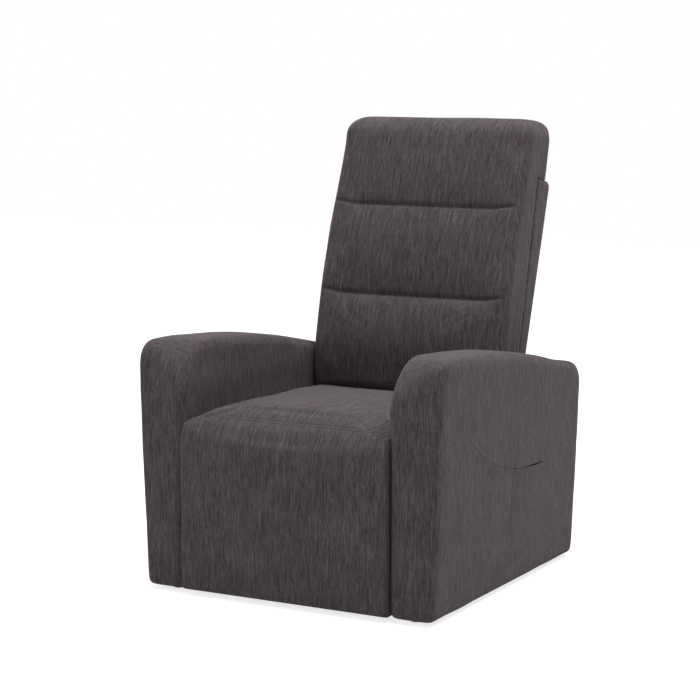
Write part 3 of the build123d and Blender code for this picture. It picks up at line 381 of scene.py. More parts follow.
def grain_group():
    """Node group of wood grain: long wavy rings along one axis, with pores. Puts out a mask and a height."""
    tree = bpy.data.node_groups.new("wood grain", "ShaderNodeTree")
    tree.interface.new_socket("Scale", in_out="INPUT", socket_type="NodeSocketVector")
    tree.interface.new_socket("Mask", in_out="OUTPUT", socket_type="NodeSocketFloat")
    tree.interface.new_socket("Height", in_out="OUTPUT", socket_type="NodeSocketFloat")
    scale = tree.nodes.new("NodeGroupInput").outputs["Scale"]
    place = add_node(tree, "ShaderNodeTexCoord").outputs["Object"]
    vector = add_node(tree, "ShaderNodeVectorMath", {0: place, 1: scale}, operation="MULTIPLY").outputs[0]
    rings = add_node(
        tree, "ShaderNodeTexWave",
        {"Vector": vector, "Scale": 1.4, "Distortion": 5.0, "Detail": 3.0, "Detail Scale": 1.2},
        wave_type="BANDS", bands_direction="DIAGONAL",
    ).outputs["Fac"]
    pores = noise_node(tree, vector, 14.0, 4.0)
    mask = math_node(tree, "MULTIPLY_ADD", rings, 0.7, math_node(tree, "MULTIPLY", pores, 0.3))
    set_inputs(tree, tree.nodes.new("NodeGroupOutput"), {"Mask": mask, "Height": pores})
    return tree


def timber(name, scale, pale, dark):
    """Raw wood with grain."""
    material, tree, shader = new_material(name)
    group = add_node(tree, "ShaderNodeGroup", {"Scale": scale}, node_tree=grain_group())
    set_inputs(tree, shader, {
        "Base Color": mix_colour(tree, group.outputs["Mask"], rgba(pale), rgba(dark)),
        "Normal": bump_node(tree, group.outputs["Height"], 0.25, 0.0006),
        "Roughness": 0.7,
    })
    return material


def speckled(name, base, other, roughness, metallic, scale, distance):
    """Hard finish with fine mottling of colour and roughness: coated steel, plated steel or plastic."""
    material, tree, shader = new_material(name)
    place = add_node(tree, "ShaderNodeTexCoord").outputs["Object"]
    speckle = noise_node(tree, place, scale, 5.0)
    broad = span_node(tree, noise_node(tree, place, scale / 12, 2.0), 0.35, 0.70)
    set_inputs(tree, shader, {
        "Base Color": mix_colour(tree, broad, rgba(base), rgba(other)),
        "Roughness": math_node(tree, "MULTIPLY_ADD", speckle, 0.25, roughness - 0.12),
        "Normal": bump_node(tree, speckle, 0.3, distance),
        "Metallic": metallic,
    })
    return material


def woven(name, base, other, pitch):
    """Coarse plain weave for webbing and felt."""
    material, tree, shader = new_material(name)
    place = add_node(tree, "ShaderNodeTexCoord").outputs["Object"]
    inputs = {"Vector": place, "Scale": 0.3 / pitch, "Distortion": 0.6, "Detail": 1.0}
    weft, warp = (
        add_node(tree, "ShaderNodeTexWave", inputs, wave_type="BANDS", bands_direction=way).outputs["Fac"]
        for way in ("X", "Z")
    )
    weave = math_node(tree, "MULTIPLY", weft, warp)
    set_inputs(tree, shader, {
        "Base Color": mix_colour(tree, weave, rgba(base), rgba(other)),
        "Normal": bump_node(tree, weave, 0.5, 0.0005),
        "Roughness": 0.9,
    })
    return material


# Mesh helpers


def points_of(mesh):
    """Vertex places as an array of rows."""
    co = np.zeros(len(mesh.vertices) * 3)
    mesh.vertices.foreach_get("co", co)
    return co.reshape(-1, 3)


def normals_of(mesh):
    """Vertex normals as an array of rows."""
    normal = np.zeros(len(mesh.vertices) * 3)
    mesh.vertices.foreach_get("normal", normal)
    return normal.reshape(-1, 3)


def put_points(mesh, co):
    """Writes vertex places back."""
    mesh.vertices.foreach_set("co", np.ascontiguousarray(co, dtype=np.float32).ravel())
    mesh.update()


def shade_smooth(mesh):
    """Sets all faces smooth."""
    mesh.polygons.foreach_set("use_smooth", np.ones(len(mesh.polygons), dtype=bool))
    mesh.update()


def new_object(name, co, faces):
    """Object of a mesh given by vertex rows and a list of faces, shaded smooth."""
    mesh = bpy.data.meshes.new(name)
    mesh.from_pydata(co.tolist(), [], faces)
    shade_smooth(mesh)
    obj = bpy.data.objects.new(name, mesh)
    bpy.context.scene.collection.objects.link(obj)
    return obj


def tube_faces(rings, around):
    """Quads of a tube of rings: each joins two neighbours on a ring to the same two on the next."""
    i, j = np.meshgrid(np.arange(rings - 1), np.arange(around), indexing="ij")
    after = (j + 1) % around
    corners = [i * around + j, i * around + after, (i + 1) * around + after, (i + 1) * around + j]
    return np.stack(corners, axis=-1).reshape(-1, 4)


def capped_tube_faces(rings, around):
    """Faces of a tube of rings and of its two flat ends."""
    ring = np.arange(around)
    return tube_faces(rings, around).tolist() + [ring[::-1].tolist(), (ring + (rings - 1) * around).tolist()]


def edit_mesh(obj, edit):
    """Runs one bmesh edit on an object's mesh."""
    work = bmesh.new()
    work.from_mesh(obj.data)
    edit(work)
    work.to_mesh(obj.data)
    work.free()


def face_outwards(obj):
    """Turns all faces of a closed mesh outwards."""
    edit_mesh(obj, lambda work: bmesh.ops.recalc_face_normals(work, faces=work.faces))


def copy_of_nodes(name, nodes, shape=None):
    """One object that holds copies of some CAD solids, with their doubles merged. Where shape is
    given, it changes each node's rows first."""
    rows, faces, start = [], [], 0
    for node in nodes:
        mesh = frame["nodes"][node].data
        mesh.calc_loop_triangles()
        triangles = np.zeros(len(mesh.loop_triangles) * 3, dtype=np.int64)
        mesh.loop_triangles.foreach_get("vertices", triangles)
        rows.append(shape(node, points_of(mesh)) if shape else points_of(mesh))
        faces.append(triangles.reshape(-1, 3) + start)
        start += len(mesh.vertices)
    obj = new_object(name, np.vstack(rows), np.vstack(faces).tolist())
    edit_mesh(obj, lambda work: bmesh.ops.remove_doubles(work, verts=work.verts, dist=1e-5))
    return obj


def bake(obj):
    """Applies the modifiers of an object to its mesh."""
    graph = bpy.context.evaluated_depsgraph_get()
    mesh = bpy.data.meshes.new_from_object(obj.evaluated_get(graph))
    obj.modifiers.clear()
    obj.data = mesh
    mesh.name = obj.name
    shade_smooth(mesh)


def even_grid(obj, voxel):
    """Voxel remesh."""
    grid = obj.modifiers.new("grid", "REMESH")
    grid.mode = "VOXEL"
    grid.voxel_size = voxel
    bake(obj)


def soften(obj, times, free=None):
    """Smooths the chosen vertices some times over, or all of them."""
    soft = obj.modifiers.new("ease", "SMOOTH")
    soft.factor = 0.5
    soft.iterations = times
    if free is not None:
        group = obj.vertex_groups.new(name="free")
        group.add(np.nonzero(free(points_of(obj.data)))[0].tolist(), 1.0, "REPLACE")
        soft.vertex_group = "free"
    bake(obj)
    obj.vertex_groups.clear()


def fill_cushion(obj, pinned, swell):
    """Blows the cover up as cloth for some frames. Pinned vertices hold still, and the movement of
    the others fades out softly at the swell: m becomes swell times tanh(m / swell)."""
    frames = 20
    start = points_of(obj.data)
    group = obj.vertex_groups.new(name="sewn")
    group.add(np.nonzero(pinned)[0].tolist(), 1.0, "REPLACE")
    cloth = obj.modifiers.new("cloth", "CLOTH").settings
    cloth.quality = 4
    cloth.use_pressure = True
    cloth.uniform_pressure_force = settings("cushion").pressure
    cloth.effector_weights.gravity = 0.0
    cloth.vertex_group_mass = "sewn"
    scene = bpy.context.scene
    for step in range(frames):
        scene.frame_set(1 + step)
    graph = bpy.context.evaluated_depsgraph_get()
    swollen = points_of(obj.evaluated_get(graph).data)
    obj.modifiers.clear()
    obj.vertex_groups.clear()
    scene.frame_set(1)
    move = swollen - start
    length = np.maximum(np.linalg.norm(move, axis=1, keepdims=True), 1e-9)
    put_points(obj.data, start + move * (swell * np.tanh(length / swell) / length))


def ripples(co, axis, length, seed):
    """Even, repeatable unevenness: a few sines of near wavelengths in fixed random directions, -1 to 1."""
    sines = 6
    chance = np.random.default_rng(seed)
    total = np.zeros(len(co))
    for _ in range(sines):
        way = chance.normal(size=3) * (1.0 - 0.6 * np.asarray(axis))
        way /= np.linalg.norm(way)
        wave = length * chance.uniform(0.7, 1.5)
        total += np.sin(co @ way * (2 * math.pi / wave) + chance.uniform(0, 2 * math.pi))
    return total / sines


def push(obj, depth):
    """Moves each vertex along its normal by its own depth."""
    put_points(obj.data, points_of(obj.data) + normals_of(obj.data) * depth[:, None])


def rise(value, start, end):
    """0 up to the start, 1 from the end on, and 3 s s - 2 s s s at a share s of the way between."""
    share = np.clip((value - start) / (end - start), 0.0, 1.0)
    return share * share * (3.0 - 2.0 * share)


def bell(value, centre, width):
    """1 at the centre, falling off as exp(-d d) at d widths from it."""
    return np.exp(-(((value - centre) / width) ** 2))


def rounding(short, radius):
    """How far a rounding of a radius falls back, at a way short of its end: the radius less the height
    of its circle there."""
    over = np.clip(radius - short, 0.0, radius)
    return radius - np.sqrt(radius * radius - over * over)


def keep_rest(obj):
    """Stores each vertex's place and facing at rest, for the cloth pattern."""
    mesh = obj.data
    for label, rows in (("rest", points_of(mesh)), ("rest_facing", normals_of(mesh))):
        attribute = mesh.attributes.new(label, "FLOAT_VECTOR", "POINT")
        attribute.data.foreach_set("vector", np.ascontiguousarray(rows, dtype=np.float32).ravel())


def finish_cover(obj, material, nodes):
    """Gives a cover its cloth and hides the CAD nodes it stands for."""
    keep_rest(obj)
    obj.data.materials.clear()
    obj.data.materials.append(material)
    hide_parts(*nodes)


def corner_reach(across, up, half, radius):
    """Way from the centre of a square to its outline, whose corner is rounded, in a direction given by
    its cosine and sine: on the rounding the far root of the circle's quadratic, else half / the larger."""
    inset = half - radius
    under = radius * radius - (inset * (across - up)) ** 2
    arc = inset * (across + up) + np.sqrt(np.maximum(under, 0.0))
    on_arc = (under > 0.0) & (arc * np.minimum(across, up) >= inset)
    return np.where(on_arc, arc, half / np.maximum(np.maximum(across, up), 1e-6))


def reshape_corner(co, forwards, setback, drop, old, new):
    """Gives a rounding in the side view another radius. Rows are told by their way behind the upright
    face and below the top line; each moves along its direction from the centre of the corner's square
    by the difference of the two outlines, and less the deeper it lies."""
    half = max(old, np.max(new))
    across, up = half - setback, half - drop
    reach = np.maximum(np.hypot(across, up), 1e-6)
    across, up = across / reach, up / reach
    before = corner_reach(across, up, half, old)
    gain = corner_reach(across, up, half, new) - before
    gain = np.where((across > 0.0) & (up > 0.0), gain * rise(reach / before, 0.5, 0.9), 0.0)
    co[:, 1] += forwards * gain * across
    co[:, 2] += gain * up


# Arms


def face_places(y, height, out):
    """Points over the outer face of the left arm: y along it, height up its slope, out in front of it."""
    x = ARM_FOOT_X + height * math.sin(FLARE) + out * math.cos(FLARE)
    z = GLIDE + height * math.cos(FLARE) - out * math.sin(FLARE)
    return np.stack(np.broadcast_arrays(x, y, z), axis=-1)


def mouth_height(y):
    """Height of the pocket's mouth up the outer face: a smooth curve of the third degree in y."""
    curve = np.polyfit(POCKET_MOUTH[:, 0], POCKET_MOUTH[:, 1], 3)
    return np.polyval(curve, np.clip(y, MOUTH_START, MOUTH_END))


def close_mouth(node, co):
    """Brings the pocket panel's upper edge up to the mouth's upper edge, because the pocket hangs shut."""
    if node == "pocket_panel":
        co[:, 2] += settings("cushion").mouth * (co[:, 2] > POCKET_SPLIT)
    return co


def mouth_blade():
    """Thin body that cuts the pocket's mouth. Its middle line is the mouth's curve, its cross section a
    strip that goes in and down; it is widest near the rear end and comes to a point at both ends."""
    rings = 90
    outer, inner, fall = 0.014, -0.019, 0.012
    share = np.linspace(0.0, 1.0, rings)[:, None]
    y = MOUTH_START + (MOUTH_END - MOUTH_START) * share
    wide = 0.00045 + 0.0014 * bell(share, 0.86, 0.11) + 0.0004 * bell(share, 0.06, 0.07)
    wide = wide * np.minimum(1.0, 0.15 + 20 * np.minimum(share, 1 - share))
    side = np.array([1.0, -1.0, -1.0, 1.0])
    height = mouth_height(y) + side * wide - np.array([0.0, 0.0, fall, fall])
    co = face_places(y, height, np.array([outer, outer, inner, inner])).reshape(-1, 3)
    obj = new_object("mouth_blade", co, capped_tube_faces(rings, len(side)))
    face_outwards(obj)
    return obj


def cut_mouth(obj):
    """Cuts the pocket's mouth into the left arm's cover."""
    blade = mouth_blade()
    cut = obj.modifiers.new("mouth", "BOOLEAN")
    cut.operation = "DIFFERENCE"
    cut.solver = "EXACT"
    cut.object = blade
    bake(obj)
    bpy.data.objects.remove(blade)
    obj.data.set_sharp_from_angle(angle=math.radians(55))


def pocket_slack(co):
    """How far the pocket's cloth stands out below the mouth: most at the mouth, with one soft fold."""
    stand, stand_fade = 0.0034, 0.060
    fold, fold_fade = 0.0030, 0.10
    height = (co[:, 2] - GLIDE) / math.cos(FLARE)
    below = np.maximum(mouth_height(co[:, 1]) - height, 0.0)
    along = np.clip((co[:, 1] - MOUTH_START) / (MOUTH_END - MOUTH_START), 0.0, 1.0)
    slack = stand * np.exp(-below / stand_fade) * np.sin(math.pi * along) ** 0.7
    slack -= fold * np.exp(-below / fold_fade) * bell(along, 0.56, 0.055)
    return np.where(below > 0.0, slack, 0.0)


def fill_arm_corner(obj):
    """Fills the roundings at both ends of an arm's top; at the front the radius grows inwards."""
    co = points_of(obj.data)
    setback = co[:, 1] - FRONT_Y
    inwards = rise(np.abs(co[:, 0]), ARM_INNER_X + 0.110, ARM_INNER_X + 0.005)
    radius = COVER_ROUND_OUTER + (COVER_ROUND_INNER - COVER_ROUND_OUTER) * inwards
    front_top = ARM_TOP - FRONT_FALL * setback
    rear_top = ARM_BREAK_TOP - REAR_FALL * (setback - ARM_BREAK)
    reshape_corner(co, -1.0, setback, front_top - co[:, 2], FRONT_ROUND, radius)
    reshape_corner(co, 1.0, ARM_LENGTH - setback, rear_top - co[:, 2], REAR_ROUND, COVER_ROUND_REAR)
    put_points(obj.data, co)


def soften_arm(obj):
    """Rounds the outside edges of an arm by smoothing, then lets its foot down again to the glides."""
    end, side, top, foot = 0.030, 0.026, 0.445, 0.08

    def outside(co):
        setback = co[:, 1] - FRONT_Y
        ends = (setback < end) | (setback > ARM_LENGTH - end)
        return ends | (co[:, 2] > top) | (np.abs(co[:, 0]) > ARM_FOOT_X - side)

    soften(obj, 4)
    soften(obj, 36, outside)
    co = points_of(obj.data)
    low = co[:, 2].min()
    share = np.clip((co[:, 2] - low) / (foot - low), 0.0, 1.0)
    co[:, 2] = np.where(co[:, 2] < foot, GLIDE + share * (foot - GLIDE), co[:, 2])
    put_points(obj.data, co)


def arm_padding(co, facing, side, seed):
    """How far each row of an arm's cover stands out: ripples on what shows, a slight belly on the outer
    face, fuller padding inside above the seat and, on the left arm, the pocket's slack."""
    ripple, belly, padding = 0.0012, 0.0015, 0.0035
    outer = (co[:, 0] * side > ARM_FOOT_X - 0.012) & (facing[:, 0] * side > 0.3)
    inner = (co[:, 0] * side < ARM_INNER_X + 0.003) & (co[:, 2] > 0.36)
    skin = outer | (np.abs(facing[:, 1]) > 0.5) | (facing[:, 2] > 0.3)
    depth = np.where(skin, ripple * ripples(co, (0, 0, 1), 0.17, seed), 0.0)
    depth += np.where(outer, belly * bell(co[:, 2], 0.30, 0.18), 0.0)
    depth += np.where(inner, padding * bell(co[:, 2], 0.485, 0.04), 0.0)
    if side > 0:
        depth += np.where(outer, pocket_slack(co), 0.0)
    return depth


class ARMCHAIR_OT_arm_covers(bpy.types.Operator):
    """Padded covers of both arms, with the pocket in the sitter's left one"""

    bl_idname = "armchair.arm_covers"
    bl_label = "Arm covers"

    def execute(self, context):
        voxel = settings("cushion").voxel
        for name, nodes, side, seed in (
            ("arm_left", ["arm_cover_left", "pocket_panel"], 1, 3), ("arm_right", ["arm_cover_right"], -1, 5)
        ):
            obj = copy_of_nodes(name, nodes, close_mouth)
            even_grid(obj, voxel)
            fill_arm_corner(obj)
            soften_arm(obj)
            push(obj, arm_padding(points_of(obj.data), normals_of(obj.data), side, seed))
            if side > 0:
                cut_mouth(obj)
            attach(obj, "base")
            finish_cover(obj, chenille("chenille_arms", 1.0), nodes)
        return {"FINISHED"}


# Seat


def square_sides(node, co):
    """Draws the seat's rounded sides together sideways, so that its flat width reaches the arms: the
    outer band's width falls to a third and the rest is stretched to meet it."""
    band = 0.032
    away = np.abs(co[:, 0])
    inner = away * (SEAT_HALF - band / 3.0) / (SEAT_HALF - band)
    outer = SEAT_HALF - (SEAT_HALF - away) / 3.0
    co[:, 0] = np.sign(co[:, 0]) * np.where(away < SEAT_HALF - band, inner, outer)
    return co


def fill_seat_front(co):
    """Raises the seat in a crown that starts at the roll and falls evenly to the rear, and brings the
    front panel forwards."""
    values = settings("cushion")
    crest, crown_length = 0.055, 0.42
    behind = co[:, 1] - HINGE_Y
    crown = rise(behind, -0.020, crest) * np.clip(1.0 - (behind - crest) / crown_length, 0.0, 1.0)
    co[:, 2] += values.seat_crown * crown * rise(co[:, 2], HINGE_Z, HINGE_Z + 0.045)
    co[:, 1] -= values.panel_proud * rise(co[:, 1], FRONT_Y + 0.060, FRONT_Y + 0.010)


def fill_seat_rear(co, facing):
    """Squares the seat's rear top edge and draws it back towards the back cushion's foot. The top line
    is fitted to the seat's top in front of that edge."""
    old_round, new_round, overlap = 0.030, 0.010, 0.004
    rear = co[:, 1].max()
    ahead = rear - co[:, 1]
    top = (ahead > 0.034) & (ahead < 0.080) & (np.abs(co[:, 0]) < 0.15) & (facing[:, 2] > 0.7)
    slope, level = np.polyfit(ahead[top], co[top, 2], 1)
    reshape_corner(co, 1.0, ahead, level + slope * ahead - co[:, 2], old_round, new_round)
    gap = BACK_Y + overlap - rear
    co[:, 1] += gap * rise(ahead, 0.060, 0.005) * rise(co[:, 2], 0.360, 0.395)


def fill_seat_sides(co):
    """Widens the seat up to the arms, and the front panel a little more, where the arms' edges are round."""
    values = settings("cushion")
    flat, stretch = 0.240, 1.25
    away = np.abs(co[:, 0])
    away = np.where(away > flat, flat + (away - flat) * stretch, away)
    away = np.minimum(away, values.side_limit)
    at_front = rise(co[:, 1], FRONT_Y + 0.024, FRONT_Y + 0.004)
    co[:, 0] = np.sign(co[:, 0]) * (away + values.panel_spread * rise(away, 0.215, 0.265) * at_front)


def mark_seam(obj):
    """Stores how far each vertex on the roll lies from the seam, plus 1; elsewhere 0."""
    co = points_of(obj.data)
    y, z = co[:, 1] - HINGE_Y, co[:, 2] - HINGE_Z
    turn = np.arctan2(z, -y) - SEAM_ANGLE
    on_roll = (np.hypot(y, z) > ROLL_RADIUS - 0.012) & (np.abs(turn) < 0.6)
    line = obj.data.attributes.new("seam_line", "FLOAT", "POINT")
    line.data.foreach_set("value", np.where(on_roll, 1.0 + turn * ROLL_RADIUS, 0.0).astype(np.float32))


def bend_at_roll(obj):
    """Bakes a piece's placement into its mesh."""
    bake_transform(obj)


class ARMCHAIR_OT_seat_cover(bpy.types.Operator):
    """Seat cushion, front roll and front panel in one cover"""

    bl_idname = "armchair.seat_cover"
    bl_label = "Seat and footrest cover"

    def execute(self, context):
        values = settings("cushion")
        nodes = ["seat_pad", "footrest_pad"]
        obj = copy_of_nodes("seat_cover", nodes, square_sides)
        even_grid(obj, values.voxel)
        soften(obj, 5)
        co = points_of(obj.data)
        fill_seat_front(co)
        fill_seat_rear(co, normals_of(obj.data))
        put_points(obj.data, co)
        facing = normals_of(obj.data)
        pinned = (facing[:, 2] < -0.3) | ((facing[:, 1] > 0.2) & (co[:, 2] < 0.40))
        pinned |= (co[:, 2] < 0.03) | (np.abs(co[:, 0]) > 0.257)
        fill_cushion(obj, pinned, values.seat_swell)
        push(obj, np.where(pinned, 0.0, 0.0009 * ripples(points_of(obj.data), (0, 1, 0), 0.15, 11)))
        co = points_of(obj.data)
        fill_seat_sides(co)
        put_points(obj.data, co)
        mark_seam(obj)
        finish_cover(obj, chenille("chenille_seat"), nodes)
        bend_at_roll(obj)
        return {"FINISHED"}


# Back


def back_heights(co):
    """Height up the leaning back and depth behind its front face, for each row."""
    from_foot = co - (0.0, BACK_Y, BACK_Z)
    return from_foot @ UP_LEAN, from_foot @ INTO_BACK


def from_crease(height):
    """Way along the lean to the nearer crease."""
    return np.min([np.abs(height - crease) for crease in CREASES], axis=0)


def cushion_front(height, out):
    """Depth of the back cushion's front at a height. Where out is 0, straight runs between the creases,
    less a pillow for each of the three sections: 1 - |2 s - 1| to a power, for a share s of its height.
    Where out is 1, the side line."""
    fullness = 2.6
    chord = np.interp(height, (BACK_FOOT, *CREASES, 0.700), (0.004, -0.017, -0.010, -0.001))
    for low, high, crown, lift in (
        (BACK_FOOT, CREASES[0], 0.029, 1.7), (*CREASES, 0.014, 1.3), (CREASES[1], 0.720, 0.008, 1.0)
    ):
        share = np.clip((height - low) / (high - low), 0.0, 1.0) ** lift
        chord = chord - crown * (1.0 - np.abs(2.0 * share - 1.0) ** fullness)
    side = np.interp(height, *zip(*SIDE_LINE))
    return chord + (side - chord) * out


def section_heights():
    """Heights of the back cushion's sections up the lean, closest at the nape and on the top rounding."""
    nape_end, crown = NAPE + 0.011, 0.045
    shoulder = BACK_TOP - crown
    return np.concatenate([
        np.linspace(BACK_FOOT, NAPE - 0.0008, 150),
        np.linspace(NAPE, nape_end, 8)[:-1],
        np.linspace(nape_end, shoulder, 30)[:-1],
        shoulder + crown * np.sin(np.linspace(0.0, math.pi / 2, 24)),
    ])[:, None]


def cushion_sections():
    """Back cushion and headrest as closed sections stacked up the lean: at each height a rounded block
    from the pillow front to the rear, whose width, front and rear draw in at the top's roundings. A
    recess clears the neck's hinge, and the headrest's top rises to the rear."""
    side_round, front_round, rear_round, nape_round, back_edge = 0.046, 0.044, 0.026, 0.004, 0.005
    recess, top_slope = 0.011, 0.16
    height = section_heights()
    half = np.interp(height, (BACK_FOOT, 0.26, 0.4845, 0.60), (0.2665, 0.2668, 0.2655, 0.265))
    half = half - rounding(BACK_TOP - height, side_round)
    edge = np.interp(height, (0.432, 0.531, 0.65), (0.028, 0.031, 0.035))
    rear = np.where(height < NAPE, CUSHION_REAR, HEADREST_REAR)
    rear = rear - np.where(height > NAPE, rounding(height - NAPE, nape_round), 0.0)
    rear = rear - rounding(BACK_TOP - height, rear_round)
    share = np.linspace(0.0, 1.0, 64)[None, :]
    turn = np.linspace(0.0, math.pi / 2, 14)[None, 1:]
    side = np.linspace(0.0, 1.0, 12)[None, 1:-1]
    inner = half - edge
    front_x = inner * share
    front = cushion_front(height, rise(front_x, 0.165, 0.235)) + rounding(BACK_TOP - height, front_round)
    side_start, side_end = front[:, -1:] + edge, rear - back_edge
    x = np.hstack([
        front_x,
        inner + edge * np.sin(turn),
        np.broadcast_to(half, (len(half), side.size)),
        half - back_edge + back_edge * np.cos(turn),
        (half - back_edge) * (1.0 - share[:, 1:]),
    ])
    depth = np.hstack([
        front,
        side_start - edge * np.cos(turn),
        side_start + (side_end - side_start) * side,
        side_end + back_edge * np.sin(turn),
        np.broadcast_to(rear, (len(half), share.size - 1)),
    ])
    x = np.hstack([x, -x[:, -2:0:-1]])
    depth = np.hstack([depth, depth[:, -2:0:-1]])
    neck = (np.abs(height - 0.495) < 0.035) & (np.abs(x) < 0.235) & (depth > 0.07)
    depth = depth - recess * neck
    height = height + top_slope * rise(height, 0.655, 0.720) * (depth - 0.015)
    y = BACK_Y + height * math.sin(LEAN) + depth * math.cos(LEAN)
    z = BACK_Z + height * math.cos(LEAN) - depth * math.sin(LEAN)
    return np.stack([x, y, z], axis=-1).reshape(-1, 3), capped_tube_faces(*x.shape)


def sag_nape(co):
    """Lets the headrest's lower rear corners down to the outside back's rounded shoulders."""
    height, depth = back_heights(co)
    sag = rounding(SHELL_HALF - np.abs(co[:, 0]), 0.015) * rise(height, 0.620, 0.600)
    sag = np.where((depth > 0.082) & (height > 0.590), sag, 0.0)
    co -= sag[:, None] * UP_LEAN


def draw_creases(co, facing):
    """Draws the front in at both creases: a sharp fold within a wide hollow, which fade out towards the
    sides, where the creases hook upwards. Gives the way to the nearer crease."""
    fold, fold_width, hollow, hollow_width = 0.0048, 0.0045, 0.0035, 0.012
    height, depth = back_heights(co)
    away = np.abs(co[:, 0])
    near = from_crease(height - 0.006 * rise(away, 0.19, 0.25))
    front = np.clip(-(facing @ INTO_BACK) * 2.0, 0.0, 1.0) * (depth < 0.07)
    drawn = fold * bell(near, 0.0, fold_width) + hollow * np.exp(-near / hollow_width)
    co += (front * rise(away, 0.264, 0.234) * drawn)[:, None] * INTO_BACK
    return near


class ARMCHAIR_OT_back_cushion(bpy.types.Operator):
    """Back cushion and headrest in one cover with two sewn creases"""

    bl_idname = "armchair.back_cushion"
    bl_label = "Back cushion"

    def execute(self, context):
        values = settings("cushion")
        arm_height, headrest_limit = 0.58, 0.274
        nodes = ["back_pad", "headrest_pad"]
        obj = new_object("back_cushion", *cushion_sections())
        face_outwards(obj)
        even_grid(obj, 0.8 * values.voxel)
        soften(obj, 4)
        co = points_of(obj.data)
        height, depth = back_heights(co)
        pinned = (depth > 0.06) | (from_crease(height) < 0.005)
        pinned |= (np.abs(co[:, 0]) > 0.236) | (height > 0.635)
        sag_nape(co)
        put_points(obj.data, co)
        fill_cushion(obj, pinned, values.back_swell)
        soften(obj, 5, lambda rows: from_crease(back_heights(rows)[0]) > 0.03)
        co = points_of(obj.data)
        depth = back_heights(co)[1]
        near = draw_creases(co, normals_of(obj.data))
        limit = np.where(co[:, 2] < arm_height, values.side_limit, headrest_limit)
        co[:, 0] = np.clip(co[:, 0], -limit, limit)
        put_points(obj.data, co)
        gathers = np.exp(-near / 0.026) * ripples(co * (3.0, 1.0, 0.4), (0, 0, 1), 0.09, 17)
        uneven = 0.0011 * gathers + 0.0010 * ripples(co, (0, 0, 1), 0.16, 19)
        push(obj, np.where(depth < 0.05, uneven, 0.0))
        finish_cover(obj, chenille("chenille_back"), nodes)
        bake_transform(obj)
        return {"FINISHED"}


class ARMCHAIR_OT_outside_back(bpy.types.Operator):
    """Upholstered outside back and the lower rear panel"""

    bl_idname = "armchair.outside_back"
    bl_label = "Outside back and rear panel"

    def execute(self, context):
        ripple = 0.0008
        for name, node, body, seed in (
            ("outside_back", "back_shell", "back", 29), ("rear_cover", "rear_panel", "base", 31)
        ):
            obj = copy_of_nodes(name, [node])
            even_grid(obj, settings("cushion").voxel)
            soften(obj, 3)
            at_rear = normals_of(obj.data)[:, 1] > 0.5
            push(obj, np.where(at_rear, ripple * ripples(points_of(obj.data), (0, 0, 1), 0.18, seed), 0.0))
            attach(obj, body)
            finish_cover(obj, chenille("chenille_back"), [node])
        return {"FINISHED"}


# Stitching, frame and stage


def stitch(ends, radius):
    """One stitch: a round thread on an arch between two points of the cloth. The path is the chord
    plus the normal times a half sine, and rings of six points stand square to it."""
    (first, first_normal), (last, last_normal) = ends
    taper = np.array([0.35, 0.9, 1.0, 0.9, 0.35])
    around = 6
    share = np.linspace(0.0, 1.0, len(taper))[:, None]
    normal = first_normal + last_normal
    normal /= np.linalg.norm(normal)
    chord = last - first
    across = np.cross(chord / np.linalg.norm(chord), normal)
    path = first + chord * share + normal * (radius * (1.1 * np.sin(math.pi * share) - 0.2))
    turn = np.linspace(0, 2 * math.pi, around, endpoint=False)[:, None]
    ring = np.cos(turn) * across + np.sin(turn) * normal
    co = path[:, None, :] + ring[None, :, :] * (radius * taper[:, None, None])
    return co.reshape(-1, 3), tube_faces(len(taper), around)


class ARMCHAIR_OT_topstitching(bpy.types.Operator):
    """Two rows of topstitching across the front roll"""

    bl_idname = "armchair.topstitching"
    bl_label = "Topstitching"

    def execute(self, context):
        values = settings("stitch")
        graph = bpy.context.evaluated_depsgraph_get()
        cloth = BVHTree.FromObject(bpy.data.objects["seat_cover"], graph)
        far = 0.2
        rows, faces, start = [], [], 0
        for shift in (-0.5, 0.5):
            angle = SEAM_ANGLE + shift * values.rows / ROLL_RADIUS
            way = Vector((0, math.cos(angle), -math.sin(angle)))
            for x in np.arange(-SEAM_HALF, SEAM_HALF, values.pitch):
                origins = [Vector((end, HINGE_Y, HINGE_Z)) - way * far for end in (x, x + values.length)]
                hits = [cloth.ray_cast(origin, way)[:2] for origin in origins]
                ends = [(np.array(hit), np.array(normal)) for hit, normal in hits if hit is not None]
                if len(ends) < 2:
                    continue
                co, quads = stitch(ends, values.radius)
                rows.append(co)
                faces.append(quads + start)
                start += len(co)
        obj = new_object("topstitching", np.vstack(rows), np.vstack(faces).tolist())
        thread = speckled("sewing_thread", (0.055, 0.048, 0.05), (0.09, 0.08, 0.08), 0.75, 0.0, 900.0, 0.0002)
        obj.data.materials.append(thread)
        bend_at_roll(obj)
        return {"FINISHED"}


